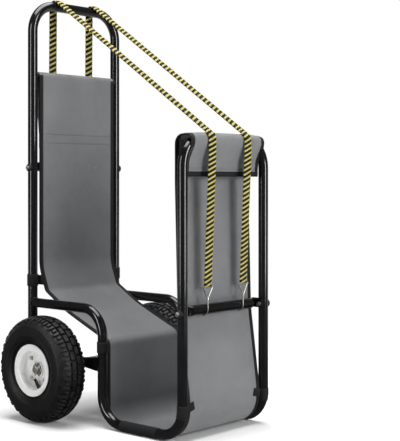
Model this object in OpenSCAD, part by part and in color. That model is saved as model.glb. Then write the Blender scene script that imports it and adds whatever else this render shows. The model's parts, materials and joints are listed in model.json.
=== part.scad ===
// Fireside log cart: a bent steel tube frame on two pneumatic wheels, with one
// long sling of coated cloth that carries the logs and two elastic straps over them.
// Millimetres. X runs across the cart, the front (strap hooks) faces -Y, and Z = 0 is
// the floor. The origin is on the floor, under the middle of the cart.

/* [Rear posts and handle] */
// Distance between the centres of the left and right tubes
post_span = 292; // [270:1:320]
// Outside diameter of the rear posts and the handle hoop
post_d = 25; // [22:0.5:28]
// Wall of every frame tube
tube_wall = 1.5; // [1.2:0.1:2]
// Lower end of the rear posts above the floor
post_bottom_z = 124; // [118:1:130]
// Joint between a rear post and the handle hoop above the floor
post_top_z = 642; // [600:1:680]
// Handle bar centre above the floor
handle_z = 1045; // [980:1:1100]
// Bend radius of the handle hoop at its centre line
handle_bend_r = 70; // [50:1:90]
// Length of the swaged end that plugs into the tube below
spigot_l = 46; // [40:1:60]

/* [Side rails] */
// Outside diameter of the side rails, braces and front hoop
rail_d = 24; // [22:0.5:26]
// Rear post centre to the step in the side rail
step_s = 259; // [240:1:275]
// Rear post centre to the front leg centre
front_s = 519; // [490:1:550]
// Upper run of the side rail above the floor
rail_z = 281; // [270:1:300]
// Bend radius of the side rails at their centre line
rail_bend_r = 65; // [50:1:75]
// Joint between a front leg and the front hoop above the floor
leg_top_z = 310; // [300:1:340]
// Lower brace centre above the axle
brace_rise = 20; // [19:0.5:22]
// Height of the flattened end of a lower brace
brace_flat_h = 34; // [28:1:36]
// Thickness of the flattened end of a lower brace
brace_flat_t = 8; // [6:0.5:10]

/* [Front hoop] */
// Front hoop top bar centre above the floor
hoop_z = 688; // [640:1:740]
// Bend radius of the front hoop at its centre line
hoop_bend_r = 65; // [50:1:80]

/* [Cross bars] */
// Outside diameter of the two cross bars
bar_d = 24; // [22:0.5:25]
// Distance from the rear joint bolts back to the rear cross bar's centre line
rear_bar_back = 5; // [4:0.5:6]
// Distance from the front joint bolts back to the front cross bar's centre line
front_bar_back = 10; // [9:0.5:12]
// Height of a cross bar's centre line above its bolts
bar_rise = 3; // [0:0.5:3]
// Thickness of the folded ear at each end of a cross bar
ear_t = 3; // [2.5:0.5:4]
// Diameter of the bar inside the sling's rear sleeve
sling_bar_d = 16; // [14:0.5:18]

/* [Fasteners] */
// Thread diameter of the joint bolts and the rim bolts
bolt_d = 6; // [5:0.5:7]
// Height of the rear joint bolts above the floor
rear_bolt_z = 625; // [622:1:628]
// Height of the front joint bolts above the floor
front_bolt_z = 293; // [290:1:296]
// Outside diameter of the domed washers
dome_d = 19; // [17:0.5:20]
// Height of a domed washer above the tube it sits on
dome_h = 5; // [4:0.5:7]

/* [Axle] */
// Axle rod diameter
axle_d = 16; // [14:0.5:18]
// Rear post centre to the axle
axle_s = 105; // [95:1:115]
// Outside diameter of the tube that carries the axle
axle_tube_d = 22; // [21:0.5:24]
// Thickness of the axle washers
washer_t = 2.5; // [2:0.5:3]
// Diameter of the cotter pins
cotter_d = 3; // [2.5:0.5:3.5]

/* [Wheels] */
// Outside diameter of the tyres
tyre_d = 260; // [250:1:270]
// Width of the tyres
tyre_w = 85; // [78:1:90]
// Post centre to the wheel's middle plane
wheel_out = 58; // [56:1:64]
// Depth of the tread grooves
lug_h = 6; // [4:0.5:7]
// Lugs round each row of the tread
lug_count = 34; // [28:1:40]
// Diameter over the rim flanges
flange_d = 124; // [118:1:130]
// Sheet thickness of the pressed rim halves
rim_t = 2; // [1.5:0.25:2.5]
// Pitch circle of the rim bolts
rim_pcd = 70; // [66:1:72]
// Rim bolts in each wheel
rim_bolts = 4; // [3:1:6]
// Outside diameter of the hub
hub_d = 36; // [34:0.5:40]
// Hub length from the wheel's middle plane outwards
hub_out = 15; // [13:1:18]
// Hub length from the wheel's middle plane inwards
hub_in = 37; // [34:1:40]
// Outside diameter of the wheel bearings
bearing_d = 32; // [30:0.5:33]
// Width of the wheel bearings
bearing_w = 9; // [8:0.5:11]
// Diameter of the valve stem
valve_d = 8; // [7:0.5:9]

/* [Sling] */
// Thickness of the coated cloth
cloth_t = 2; // [1.5:0.25:2.5]
// Gap between the sling's edge and the tabs on the front legs
sling_side_gap = 0.5; // [0.4:0.1:3]
// Width of the black binding along the edges
binding_w = 12; // [8:1:16]
// Top of the rear sleeve above the floor
sling_top_z = 872; // [840:1:900]
// Upper seam of the rear sleeve above the floor
seam_z = 711; // [690:1:740]
// Length of cloth sewn down below that seam
seam_tail = 35; // [25:1:45]
// Lower edge of the front flap above the floor
flap_z = 602; // [590:1:612]
// Height at which the flap turns back between the legs
flap_turn_z = 658; // [656:1:662]
// Lower edge of the flap ahead of the front legs' centres
flap_ahead = 2; // [0:0.5:6]
// Rear posts forward to the knee where the back panel starts to curve
knee_s = 15; // [12:1:18]
// Height of that knee above the rails
knee_rise = 119; // [110:1:126]
// Rear posts forward to the crease at the foot of the back panel
crease_s = 42; // [38:1:46]
// Height of that crease above the rails
crease_rise = 35; // [30:1:40]
// Rear posts forward to the upper and lower points of the sagging slope
slope_s = [112, 178];
// Depth of those two points below the rails
slope_drop = [16.5, 44];
// Depth of the lip above the riser below the rails
lip_drop = 76.5; // [72:0.5:80]
// Height at which the front panel starts to lean back
front_lean_z = 95; // [88:1:102]
// Front panel behind the legs' centres at the cross bar
front_panel_back = 27.5; // [27:0.5:30]
// Front panel behind the legs' centres below the hoop
front_panel_top_back = 36; // [32:0.5:40]
// Height of the sling floor's middle above the ground
sling_floor_z = 4; // [3:0.5:6]
// Step in the rail to the sling's riser
riser_gap = 7; // [6:0.5:8]

/* [Straps and hooks] */
// Width of the elastic straps
strap_w = 25; // [20:1:30]
// Thickness of the elastic straps
strap_t = 5; // [4:0.5:6]
// Distance between the two strap centres
strap_pitch = 128; // [110:1:150]
// Diameter of the hook wire
wire_d = 3; // [2.5:0.25:3.5]
// Cross bar centre up to the sewn eye of a strap
eye_rise = 52; // [48:1:60]
// Cross bar centre up to the fork of a hook
fork_rise = 24; // [22:1:28]

/* [Tabs and wraps] */
// Thickness of the webbing tabs
tab_t = 1.5; // [1:0.25:2]
// Height of the webbing tabs
tab_h = 30; // [24:1:34]
// Middle of the tabs on the rear posts above the floor
post_tab_z = 338; // [334:1:342]
// Top of the tabs on the step tubes above the floor
step_tab_top_z = 205; // [200:1:210]
// Height of the bent tabs at the foot of the front legs
front_tab_h = 28; // [26:1:32]
// Lower edge of those tabs below the end of the rails' bend
front_tab_drop = 19; // [16:1:22]
// Height of the patch that ties a front tab to the sling
patch_h = 15; // [12:1:18]
// Lower edge of that patch below the end of the rails' bend
patch_drop = 6; // [4:1:8]
// Reach of that patch inwards from the front leg's centre
patch_in = 38; // [34:1:42]
// Thickness of the cloth wrapped round each runner
wrap_t = 1.2; // [0.8:0.1:1.6]
// Rear end of the runner wraps, ahead of the step tube
wrap_from = 68; // [66:1:80]
// Length of the runner wraps
wrap_l = 118; // [80:1:122]

/* [Hidden] */
$fn = 64;

// Fits. Parts that only rest together keep a hair of air, so no two solids bite.
seat_gap = 0.3;
weld_gap = 0.2;
spigot_gap = 0.1;
running_gap = 0.05;
bolt_gap = 0.25;
cut = 1;          // how far a cutter runs past what it cuts
floor_flat = 0.5; // depth of the flat that a wrap wears against the floor
arc_step = 8;     // degrees between the points of a drawn arc

half_span = post_span / 2;
post_r = post_d / 2;
rail_r = rail_d / 2;
bar_r = bar_d / 2;
sling_bar_r = sling_bar_d / 2;
bolt_r = bolt_d / 2;
wire_r = wire_d / 2;
axle_r = axle_d / 2;
axle_tube_r = axle_tube_d / 2;
wheel_x = half_span + wheel_out;
axle_z = tyre_d / 2;
brace_z = axle_z + brace_rise;
runner_z = rail_r + seat_gap + wrap_t - floor_flat;

// Fastener proportions follow the thread.
head_r = 0.88 * bolt_d;
head_h = 0.55 * bolt_d;
head_edge = 0.4;   // share of a button head's height that is straight
head_top = 0.6;    // its flat top against its full radius
nut_r = 0.962 * bolt_d;
nut_h = 0.85 * bolt_d;
thread_out = 2;

// Folded edge tape on the sling: its wall, and the air between it and the cloth.
binding_wall = 0.5;
binding_room = 0.1;
binding_t = binding_wall + binding_room;

// Cloth and straps over the two hoops, each to the middle of its thickness.
hoop_wrap_r = rail_r + seat_gap + binding_t + cloth_t / 2;
strap_hoop_r = hoop_wrap_r + cloth_t / 2 + binding_t + seat_gap + strap_t / 2;
strap_handle_r = post_r + seat_gap + strap_t / 2;

// Side view places are [forward from the rear posts, up from the floor].
front_reach = front_s + strap_hoop_r + strap_t / 2;
back_reach = axle_s - tyre_d / 2;
middle_s = (front_reach + back_reach) / 2;
rear_bar = [-rear_bar_back, rear_bolt_z + bar_rise];
front_bar = [front_s - front_bar_back, front_bolt_z + bar_rise];
hook_reach = bar_r + seat_gap + wire_r;
rear_eye = rear_bar + [-hook_reach, eye_rise];
front_eye = front_bar + [hook_reach, eye_rise];
eye_r = wire_r + 1.5;
eye_bore_r = wire_r + 0.2;
eye_side_gap = 0.2;
leg_room = 2.2;   // lets the hook's legs close in below the strap's eye

// ---- Plane geometry -------------------------------------------------------

function unit(v) = v / norm(v);
function left_of(v) = [-v.y, v.x];
function turned(v, a) = [v.x * cos(a) - v.y * sin(a), v.x * sin(a) + v.y * cos(a)];
function turn_of(a, b) = atan2(a.x * b.y - a.y * b.x, a.x * b.x + a.y * b.y);
function flip(v) = [for (i = [len(v) - 1 : -1 : 0]) v[i]];

// Points on an arc about c, from angle a0 to angle a1.
function arc(c, r, a0, a1) =
  let (steps = max(1, ceil(abs(a1 - a0) / arc_step)))
  [for (k = [0 : steps]) c + r * [cos(a0 + (a1 - a0) * k / steps), sin(a0 + (a1 - a0) * k / steps)]];

// Corner q of the route p-q-s, rounded with radius r.
function corner(p, q, s, r) =
  let (a = unit(q - p), b = unit(s - q), phi = turn_of(a, b),
       start = q - a * r * tan(abs(phi) / 2),
       c = start + left_of(a) * r * sign(phi),
       steps = max(1, ceil(abs(phi) / arc_step)))
  [for (k = [0 : steps]) c + turned(start - c, phi * k / steps)];

// A route through [s, z, radius] corners, rounded at every inner corner.
function rounded(p) = [
  for (i = [0 : len(p) - 1])
    each i == 0 || i == len(p) - 1
      ? [[p[i].x, p[i].y]]
      : corner([p[i - 1].x, p[i - 1].y], [p[i].x, p[i].y], [p[i + 1].x, p[i + 1].y], p[i].z)
];

// The route without points that fall on the one before.
function thinned(p) = [for (i = [0 : len(p) - 1]) if (i == 0 || norm(p[i] - p[i - 1]) > 0.05) p[i]];

// The route moved sideways by off, mitred at its corners.
function beside(p, off) = [
  for (i = [0 : len(p) - 1])
    let (a = i > 0 ? unit(p[i] - p[i - 1]) : unit(p[1] - p[0]),
         b = i < len(p) - 1 ? unit(p[i + 1] - p[i]) : a,
         m = unit(left_of(a) + left_of(b)))
    p[i] + m * off / (m * left_of(a))
];

// Outline of a band of thickness t along a route.
function band(p, t) = concat(beside(p, t / 2), flip(beside(p, -t / 2)));

// Angle on the circle (c, r) where the line from q touches it.
function touch(q, c, r, side) = atan2(q.y - c.y, q.x - c.x) + side * acos(r / norm(q - c));
function on_circle(c, r, a) = c + r * [cos(a), sin(a)];

// ---- Placing --------------------------------------------------------------

// World y of a place s forward from the rear posts.
function y_at(s) = middle_s - s;

// Draws in the side view: X is forward, Y is up, Z is across the cart.
module side_view(x = 0) {
  translate([x, y_at(0), 0]) rotate([0, 0, -90]) rotate([90, 0, 0]) children();
}

// Draws in the front view, at s forward: X is across, Y is up, Z is forward.
module front_view(s = 0) {
  translate([0, y_at(s), 0]) rotate([90, 0, 0]) children();
}

// Axis along X through a side view place.
module across(place, x = 0) {
  translate([x, y_at(place.x), place.y]) rotate([0, 90, 0]) children();
}

// Draws on a wheel: Z is the axle, outwards from the cart.
module on_wheel(side) {
  translate([side * wheel_x, y_at(axle_s), axle_z]) rotate([0, side * 90, 0]) children();
}

module pipe(h, r, r_in) {
  difference() {
    cylinder(h = h, r = r);
    translate([0, 0, -cut]) cylinder(h = h + 2 * cut, r = r_in);
  }
}

// Cylinder from one point of space to another.
module stick(a, b, r) {
  d = b - a;
  translate(a) rotate([0, acos(d.z / norm(d)), atan2(d.y, d.x)]) cylinder(h = norm(d), r = r);
}

// Bent tube in the XY plane through the corners p, all bent to radius bend.
module bent_tube(p, bend, r, r_in) {
  last = len(p) - 1;
  dirs = [for (i = [0 : last - 1]) unit(p[i + 1] - p[i])];
  turns = [for (i = [0 : last]) i == 0 || i == last ? 0 : turn_of(dirs[i - 1], dirs[i])];
  lead = [for (a = turns) bend * tan(abs(a) / 2)];
  for (i = [0 : last - 1]) {
    from = p[i] + dirs[i] * lead[i];
    to = p[i + 1] - dirs[i] * lead[i + 1];
    translate(from) rotate([0, 0, atan2(dirs[i].y, dirs[i].x)]) rotate([0, 90, 0])
      pipe(norm(to - from), r, r_in);
  }
  for (i = [1 : last - 1]) {
    entry = p[i] - dirs[i - 1] * lead[i];
    centre = entry + left_of(dirs[i - 1]) * bend * sign(turns[i]);
    first = atan2(entry.y - centre.y, entry.x - centre.x) + min(0, turns[i]);
    translate(centre) rotate([0, 0, first]) bend_piece(bend, abs(turns[i]), r, r_in);
  }
}

module bend_piece(bend, angle, r, r_in) {
  rotate_extrude(angle = angle) translate([bend, 0]) difference() {
    circle(r = r);
    circle(r = r_in);
  }
}

// ---- Steel frame ----------------------------------------------------------

frame_black = "#1c1d1f";
zinc = "#c9cbce";

// Swaged end of a hoop, hanging from its joint into the tube below.
module spigot(r, joint_z) {
  r_out = r - tube_wall - spigot_gap;
  shoulder = 4;
  translate([0, joint_z - spigot_l, 0]) rotate([-90, 0, 0])
    pipe(spigot_l + shoulder, r_out, r_out - tube_wall);
  translate([0, joint_z, 0]) rotate([-90, 0, 0]) pipe(shoulder, r, r_out - tube_wall);
}

// Cross holes for the two bolts of a joint.
module joint_holes(place) {
  across(place, -half_span - post_d) cylinder(h = post_span + 2 * post_d, r = bolt_r + bolt_gap);
}

// U-shaped hoop that plugs into the tubes below it.
module hoop(s, joint_z, top_z, bend, r, bolt_z) {
  difference() {
    front_view(s) {
      bent_tube(
        [[-half_span, joint_z], [-half_span, top_z], [half_span, top_z], [half_span, joint_z]],
        bend, r, r - tube_wall);
      for (side = [-1, 1]) translate([side * half_span, 0, 0]) spigot(r, joint_z);
    }
    joint_holes([s, bolt_z]);
  }
}

module handle_hoop() {
  color(frame_black) hoop(0, post_top_z, handle_z, handle_bend_r, post_r, rear_bolt_z);
}

module front_hoop() {
  color(frame_black) hoop(front_s, leg_top_z, hoop_z, hoop_bend_r, rail_r, front_bolt_z);
}

module rear_post(side) {
  color(frame_black) difference() {
    translate([side * half_span, y_at(0), post_bottom_z])
      pipe(post_top_z - post_bottom_z, post_r, post_r - tube_wall);
    joint_holes([0, rear_bolt_z]);
  }
}

module post_plugs() {
  plug_flange = 3;
  plug_l = 14;
  color("#151515") for (side = [-1, 1]) translate([side * half_span, y_at(0), post_bottom_z]) {
    translate([0, 0, -plug_flange]) cylinder(h = plug_flange, r = post_r);
    cylinder(h = plug_l, r = post_r - tube_wall - spigot_gap);
  }
}

// Space of a rear post, wide enough for the weld of a tube that butts on it.
module post_space(side) {
  translate([side * half_span, y_at(0), 0]) cylinder(h = handle_z, r = post_r + weld_gap);
}

// One tube: back from the step to the rear post, down, along the floor and up the front.
module side_rail(side) {
  color(frame_black) difference() {
    side_view(side * half_span) bent_tube(
      [[0, rail_z], [step_s, rail_z], [step_s, runner_z], [front_s, runner_z], [front_s, leg_top_z]],
      rail_bend_r, rail_r, rail_r - tube_wall);
    post_space(side);
    joint_holes([front_s, front_bolt_z]);
  }
}

// Lower brace from the rear post to the step tube, flattened at its front end.
module lower_brace(side) {
  flat_l = 8;
  taper_l = 44;
  flat_start = step_s - rail_r - flat_l;
  round_end = flat_start - taper_l;
  sliver = 0.5;
  color(frame_black) difference() {
    side_view(side * half_span) {
      translate([0, brace_z, 0]) rotate([0, 90, 0]) pipe(round_end, rail_r, rail_r - tube_wall);
      hull() {
        translate([round_end - sliver, brace_z, 0]) rotate([0, 90, 0])
          cylinder(h = sliver, r = rail_r, $fn = 32);
        translate([flat_start, brace_z - brace_flat_h / 2, -brace_flat_t / 2])
          cube([sliver, brace_flat_h, brace_flat_t]);
      }
      translate([flat_start, brace_z - brace_flat_h / 2, -brace_flat_t / 2])
        cube([step_s - flat_start, brace_flat_h, brace_flat_t]);
    }
    post_space(side);
    translate([side * half_span, y_at(step_s), 0]) cylinder(h = rail_z, r = rail_r + weld_gap);
    across([axle_s, axle_z], -wheel_x) cylinder(h = 2 * wheel_x, r = axle_tube_r + weld_gap);
  }
}

axle_tube_half = wheel_x - hub_in - washer_t - 2 * seat_gap;
module axle_tube() {
  color(frame_black) across([axle_s, axle_z], -axle_tube_half)
    pipe(2 * axle_tube_half, axle_tube_r, axle_r + running_gap);
}

// Bar whose ends are pressed flat and folded into ears against the posts.
module cross_bar(centre, back, r) {
  ear_face = half_span - r - weld_gap;
  plate_t = 3.5;
  fold = 14;
  body_half = ear_face - 2 * nut_r - fold;
  plate_h = 2 * bar_r - 1;
  sliver = 0.5;
  bolt_s = centre.x + back;
  ear_end = [bolt_s - 2, centre.y];
  color(frame_black) difference() {
    union() {
      across(centre, -body_half) cylinder(h = 2 * body_half, r = bar_r);
      for (side = [-1, 1]) mirror([side < 0 ? 1 : 0, 0, 0]) {
        hull() {
          across(centre, body_half - sliver) cylinder(h = sliver, r = bar_r, $fn = 32);
          translate([body_half + fold, y_at(centre.x) + bar_r - plate_t, centre.y - plate_h / 2])
            cube([sliver, plate_t, plate_h]);
        }
        translate([body_half + fold, y_at(centre.x) + bar_r - plate_t, centre.y - plate_h / 2])
          cube([ear_face - body_half - fold, plate_t, plate_h]);
        translate([ear_face - ear_t, y_at(ear_end.x), centre.y - plate_h / 2])
          cube([ear_t, ear_end.x - centre.x + bar_r - plate_t / 2, plate_h]);
        across(ear_end, ear_face - ear_t) cylinder(h = ear_t, r = plate_h / 2);
      }
    }
    joint_holes([bolt_s, centre.y - bar_rise]);
  }
}

module front_cross_bar() { cross_bar(front_bar, front_bar_back, rail_r); }
module rear_cross_bar() { cross_bar(rear_bar, rear_bar_back, post_r); }

module sling_bar() {
  color(frame_black) difference() {
    across([0, sling_bar_z], -half_span) cylinder(h = post_span, r = sling_bar_r);
    for (side = [-1, 1]) post_space(side);
  }
}

// ---- Joint fasteners ------------------------------------------------------

joints = [[[0, rear_bolt_z], post_r], [[front_s, front_bolt_z], rail_r]];

module joint_bolts() {
  color(zinc) for (j = joints, side = [-1, 1]) mirror([side < 0 ? 1 : 0, 0, 0]) {
    seat = half_span + j[1] + dome_h;
    tail = half_span - j[1] - weld_gap - ear_t - nut_h - thread_out;
    across(j[0], tail) cylinder(h = seat - tail, r = bolt_r);
    across(j[0], seat) {
      cylinder(h = head_h * head_edge, r = head_r);
      translate([0, 0, head_h * head_edge])
        cylinder(h = head_h * (1 - head_edge), r1 = head_r, r2 = head_r * head_top);
    }
  }
}

module joint_nuts() {
  color(zinc) for (j = joints, side = [-1, 1]) mirror([side < 0 ? 1 : 0, 0, 0])
    across(j[0], half_span - j[1] - weld_gap - ear_t - nut_h) difference() {
      cylinder(h = nut_h, r = nut_r, $fn = 6);
      translate([0, 0, -cut]) cylinder(h = nut_h + 2 * cut, r = bolt_r + running_gap);
    }
}

// Domed washers with a saddle on the tube side.
module domed_washers() {
  dome_r = dome_d / 2;
  crown_r = 1.45 * dome_r;    // sphere that rounds the top
  crown_sink = 1.35 * dome_r; // its centre below the top
  for (j = joints, side = [-1, 1]) color("#121212") mirror([side < 0 ? 1 : 0, 0, 0]) difference() {
    across(j[0], half_span) intersection() {
      cylinder(h = j[1] + dome_h, r = dome_r);
      translate([0, 0, j[1] + dome_h - crown_sink]) sphere(r = crown_r);
    }
    translate([half_span, y_at(j[0].x), 0]) cylinder(h = handle_z, r = j[1] + weld_gap);
    across(j[0], half_span) cylinder(h = j[1] + dome_h + cut, r = bolt_r + bolt_gap);
  }
}

// ---- Axle -----------------------------------------------------------------

axle_margin = 5.5;
cotter_x = wheel_x + hub_out + washer_t + 2 * seat_gap + cotter_d / 2 + 0.2;
axle_half = cotter_x + axle_margin;
cotter_hole_r = cotter_d / 2 + 0.2;

module axle() {
  chamfer = 1;
  color(zinc) difference() {
    across([axle_s, axle_z], 0) {
      translate([0, 0, -axle_half + chamfer]) cylinder(h = 2 * (axle_half - chamfer), r = axle_r);
      for (side = [0, 1]) mirror([0, 0, side]) translate([0, 0, axle_half - chamfer])
        cylinder(h = chamfer, r1 = axle_r, r2 = axle_r - chamfer);
    }
    for (side = [-1, 1]) translate([side * cotter_x, y_at(axle_s), axle_z - axle_d])
      cylinder(h = 2 * axle_d, r = cotter_hole_r);
  }
}

module axle_washers() {
  washer_rim = 6;
  washer_r = axle_r + washer_rim;
  color(zinc) for (side = [-1, 1]) on_wheel(side)
    for (z = [-hub_in - seat_gap - washer_t, hub_out + seat_gap])
      translate([0, 0, z]) pipe(washer_t, washer_r, axle_r + weld_gap);
}

// Split pins: a round eye above the axle and two spread legs below it.
module cotter_pins() {
  eye = 3;
  pin_r = cotter_d / 2;
  drop = axle_r + 3;
  leg_spread = 5;
  leg_drop = 4;
  eye_wire_r = pin_r * 0.6;
  color(zinc) for (side = [-1, 1]) translate([side * cotter_x, y_at(axle_s), axle_z]) {
    translate([0, 0, -drop]) cylinder(h = 2 * drop, r = pin_r);
    translate([0, 0, drop + eye]) rotate([90, 0, 90]) rotate_extrude($fn = 40)
      translate([eye, 0]) circle(r = eye_wire_r, $fn = 32);
    for (lean = [-1, 1])
      stick([0, 0, -drop + pin_r], [0, lean * leg_spread, -drop - leg_drop], eye_wire_r);
  }
}

// ---- Wheels ---------------------------------------------------------------

flange_r = flange_d / 2;
rim_half_w = 33;         // wheel's middle plane to the outside of the rim flanges
disc_w = 9;              // plane where the two rim halves meet
wall_r = 48.5;           // middle of the rim wall at the flange
bead_r = wall_r + rim_t / 2 + seat_gap;
bead_w = rim_half_w - rim_t - seat_gap;
bead_t = 11;
bead_chamfer = 2;
tyre_wall = 5;
section_mid_r = 96;
section_power = 2.6;     // how square the tyre's section is; 2 is an ellipse

// Half of a rounded-square section, from angle a0 to a1, as [radius, width].
function section(half_w, up, down, a0, a1, steps) = [
  for (k = [0 : steps])
    let (a = a0 + (a1 - a0) * k / steps)
    [section_mid_r + (sin(a) > 0 ? up : down) * eased(sin(a)), half_w * eased(cos(a))]
];
function eased(v) = sign(v) * pow(abs(v), 2 / section_power);

tread_r = tyre_d / 2;
cavity_half_w = tyre_w / 2 - tyre_wall;
cavity_up = tread_r - lug_h - tyre_wall - section_mid_r;
cavity_down = section_mid_r - flange_r - 2;
tyre_seat_r = flange_r + 1.5;
cavity = section(cavity_half_w, cavity_up, cavity_down, -60, 240, 24);
tyre_outline = concat(
  [[bead_r, bead_w - bead_chamfer], [bead_r + bead_chamfer, bead_w], [tyre_seat_r, bead_w]],
  section(tyre_w / 2, tread_r - section_mid_r, section_mid_r - flange_r, -48, 228, 30),
  [[tyre_seat_r, -bead_w], [bead_r + bead_chamfer, -bead_w], [bead_r, bead_chamfer - bead_w],
   [bead_r, bead_t - bead_w]],
  flip(cavity),
  [[bead_r, bead_w - bead_t]]
);

// Block tread: two staggered centre rows and two shoulder rows, cut from the full section.
module tyre(side) {
  groove_w = 4;
  row_w = 16;
  shoulder_w = 28;
  pitch = 360 / lug_count;
  floor_r = tread_r - lug_h;
  color("#232425") on_wheel(side) difference() {
    rotate_extrude() polygon(tyre_outline);
    rotate_extrude() translate([floor_r, -groove_w / 2]) square([4 * lug_h, groove_w]);
    for (w = [-row_w, row_w]) rotate_extrude() translate([floor_r, w - groove_w / 2])
      square([4 * lug_h, groove_w]);
    for (row = [-1, 1], i = [0 : lug_count - 1]) {
      rotate([0, 0, (i + row / 4) * pitch]) translate([floor_r, -groove_w / 2, row > 0 ? 0 : -row_w])
        cube([4 * lug_h, groove_w, row_w]);
      rotate([0, 0, (i + row / 4 + 0.5) * pitch])
        translate([floor_r - lug_h, -groove_w / 2, row * shoulder_w]) rotate([0, -row * 40, 0])
          translate([0, 0, -13]) cube([4 * lug_h, groove_w, 30]);
    }
  }
}

// Outline of the tyre's cavity moved inwards by less, closed at the foot of the valve.
function air_outline(less) = concat(
  [[bead_r + 1 + less, bead_w - bead_t - less]],
  section(cavity_half_w - less, cavity_up - less, cavity_down - less, -60, 240, 24),
  [[bead_r + 1 + less, bead_t + less - bead_w]]
);

// Air tube inside the tyre.
module inner_tube(side) {
  tube_t = 2;
  room = 0.6;
  color("#1d1d1d") on_wheel(side) difference() {
    rotate_extrude() polygon(air_outline(room));
    rotate_extrude() polygon(air_outline(room + tube_t));
  }
}

// A pressed rim half: flat disc, wall and flange, drawn from its middle line.
module rim_half(side, disc, flange) {
  lip = sign(flange) * 3;
  route = rounded([
    [hub_d / 2 + weld_gap, disc, 0],
    [wall_r, disc, 4],
    [wall_r, flange, 2.2],
    [flange_r, flange, 1.8],
    [flange_r + 0.5, flange + lip, 0]
  ]);
  color("#e9e9e6") on_wheel(side) difference() {
    rotate_extrude() polygon(band(route, rim_t));
    for (k = [0 : rim_bolts - 1]) rim_bolt_at(k) translate([0, 0, disc_w - 4 * rim_t])
      cylinder(h = 8 * rim_t, r = bolt_r + bolt_gap);
    valve_line(side) translate([0, 0, -cut]) cylinder(h = valve_l, r = valve_d / 2 + weld_gap);
  }
}

module rim_bolt_at(k) {
  rotate([0, 0, 45 + k * 360 / rim_bolts]) translate([rim_pcd / 2, 0, 0]) children();
}

module rim_outer(side) { rim_half(side, disc_w + rim_t / 2, rim_half_w - rim_t / 2); }
module rim_inner(side) { rim_half(side, disc_w - rim_t / 2, rim_t / 2 - rim_half_w); }

module hub(side) {
  spacer_r = axle_r + 2.5;
  color("#d8d8d4") on_wheel(side) difference() {
    translate([0, 0, -hub_in]) cylinder(h = hub_in + hub_out, r = hub_d / 2);
    translate([0, 0, -hub_in - cut]) cylinder(h = hub_in + hub_out + 2 * cut, r = spacer_r);
    translate([0, 0, -hub_in - cut]) cylinder(h = bearing_w + cut, r = bearing_d / 2 + running_gap);
    translate([0, 0, hub_out - bearing_w]) cylinder(h = bearing_w + cut, r = bearing_d / 2 + running_gap);
  }
}

// Shielded ball bearings, one pressed into each end of the hub.
module bearings(side) {
  dip = 0.7;
  inner_r = axle_r + running_gap;
  race = 2.5;
  outer_r = bearing_d / 2;
  color("#b9bbbd") on_wheel(side)
    for (z = [-hub_in, hub_out - bearing_w]) translate([0, 0, z]) rotate_extrude() polygon([
      [inner_r, 0], [inner_r + race, 0], [inner_r + race, dip], [outer_r - race, dip],
      [outer_r - race, 0], [outer_r, 0], [outer_r, bearing_w], [outer_r - race, bearing_w],
      [outer_r - race, bearing_w - dip], [inner_r + race, bearing_w - dip],
      [inner_r + race, bearing_w], [inner_r, bearing_w]
    ]);
}

module rim_bolts(side) {
  color(zinc) on_wheel(side) for (k = [0 : rim_bolts - 1]) rim_bolt_at(k) {
    translate([0, 0, disc_w + rim_t]) cylinder(h = head_h, r = nut_r, $fn = 6);
    translate([0, 0, disc_w - rim_t - nut_h - thread_out])
      cylinder(h = nut_h + thread_out + 2 * rim_t, r = bolt_r);
  }
}

module rim_nuts(side) {
  color(zinc) on_wheel(side) for (k = [0 : rim_bolts - 1]) rim_bolt_at(k)
    translate([0, 0, disc_w - rim_t - nut_h]) difference() {
      cylinder(h = nut_h, r = nut_r, $fn = 6);
      translate([0, 0, -cut]) cylinder(h = nut_h + 2 * cut, r = bolt_r + running_gap);
    }
}

valve_turn = 8;      // degrees ahead of straight down, as the wheels stand
valve_foot = [bead_r - 0.2, 13];
valve_tip = [22, 26];
valve_l = norm(valve_tip - valve_foot);
valve_cap_l = 9;

// Line of the valve, from its foot on the air tube towards the hub; Z runs along it.
module valve_line(side) {
  lean = atan2(valve_tip.x - valve_foot.x, valve_tip.y - valve_foot.y);
  rotate([0, 0, side < 0 ? 180 + valve_turn : -valve_turn])
    translate([valve_foot.x, 0, valve_foot.y]) rotate([0, lean, 0]) children();
}

module valve_stem(side) {
  neck_r = valve_d / 2 - 1.6;
  rubber_l = valve_l - valve_cap_l - seat_gap;
  color("#161616") on_wheel(side) valve_line(side) {
    cylinder(h = rubber_l, r = valve_d / 2);
    cylinder(h = valve_l - 4, r = neck_r);
  }
}

module valve_cap(side) {
  color("#0f0f0f") on_wheel(side) valve_line(side) translate([0, 0, valve_l - valve_cap_l]) difference() {
    cylinder(h = valve_cap_l, r = valve_d / 2 - 0.4);
    translate([0, 0, -cut]) cylinder(h = valve_cap_l - 2 + cut, r = valve_d / 2 - 1.6 + weld_gap);
  }
}

// ---- Sling ----------------------------------------------------------------

sling_half_w = half_span - rail_r - seat_gap - tab_t - sling_side_gap;
sling_bar_z = sling_top_z - sling_bar_r - seat_gap - cloth_t;
sleeve_c = [0, sling_bar_z];
sleeve_r = sling_bar_r + seat_gap + cloth_t / 2;
hoop_c = [front_s, hoop_z];
flap_front = front_s + hoop_wrap_r;
flap_turn = [flap_front, flap_turn_z];
flap_end = [front_s + flap_ahead, flap_z];
flap_dir = unit(flap_end - flap_turn);
sling_lag = 1.5;  // how far behind the legs' centres the front panel starts

panel_knee = [knee_s, rail_z + knee_rise];
sleeve_front = touch(panel_knee, sleeve_c, sleeve_r, 1);
panel_top = on_circle(sleeve_c, sleeve_r, sleeve_front);
panel_dir = unit(panel_knee - panel_top);
function panel_at(z) = panel_top + panel_dir * (z - panel_top.y) / panel_dir.y;

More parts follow.
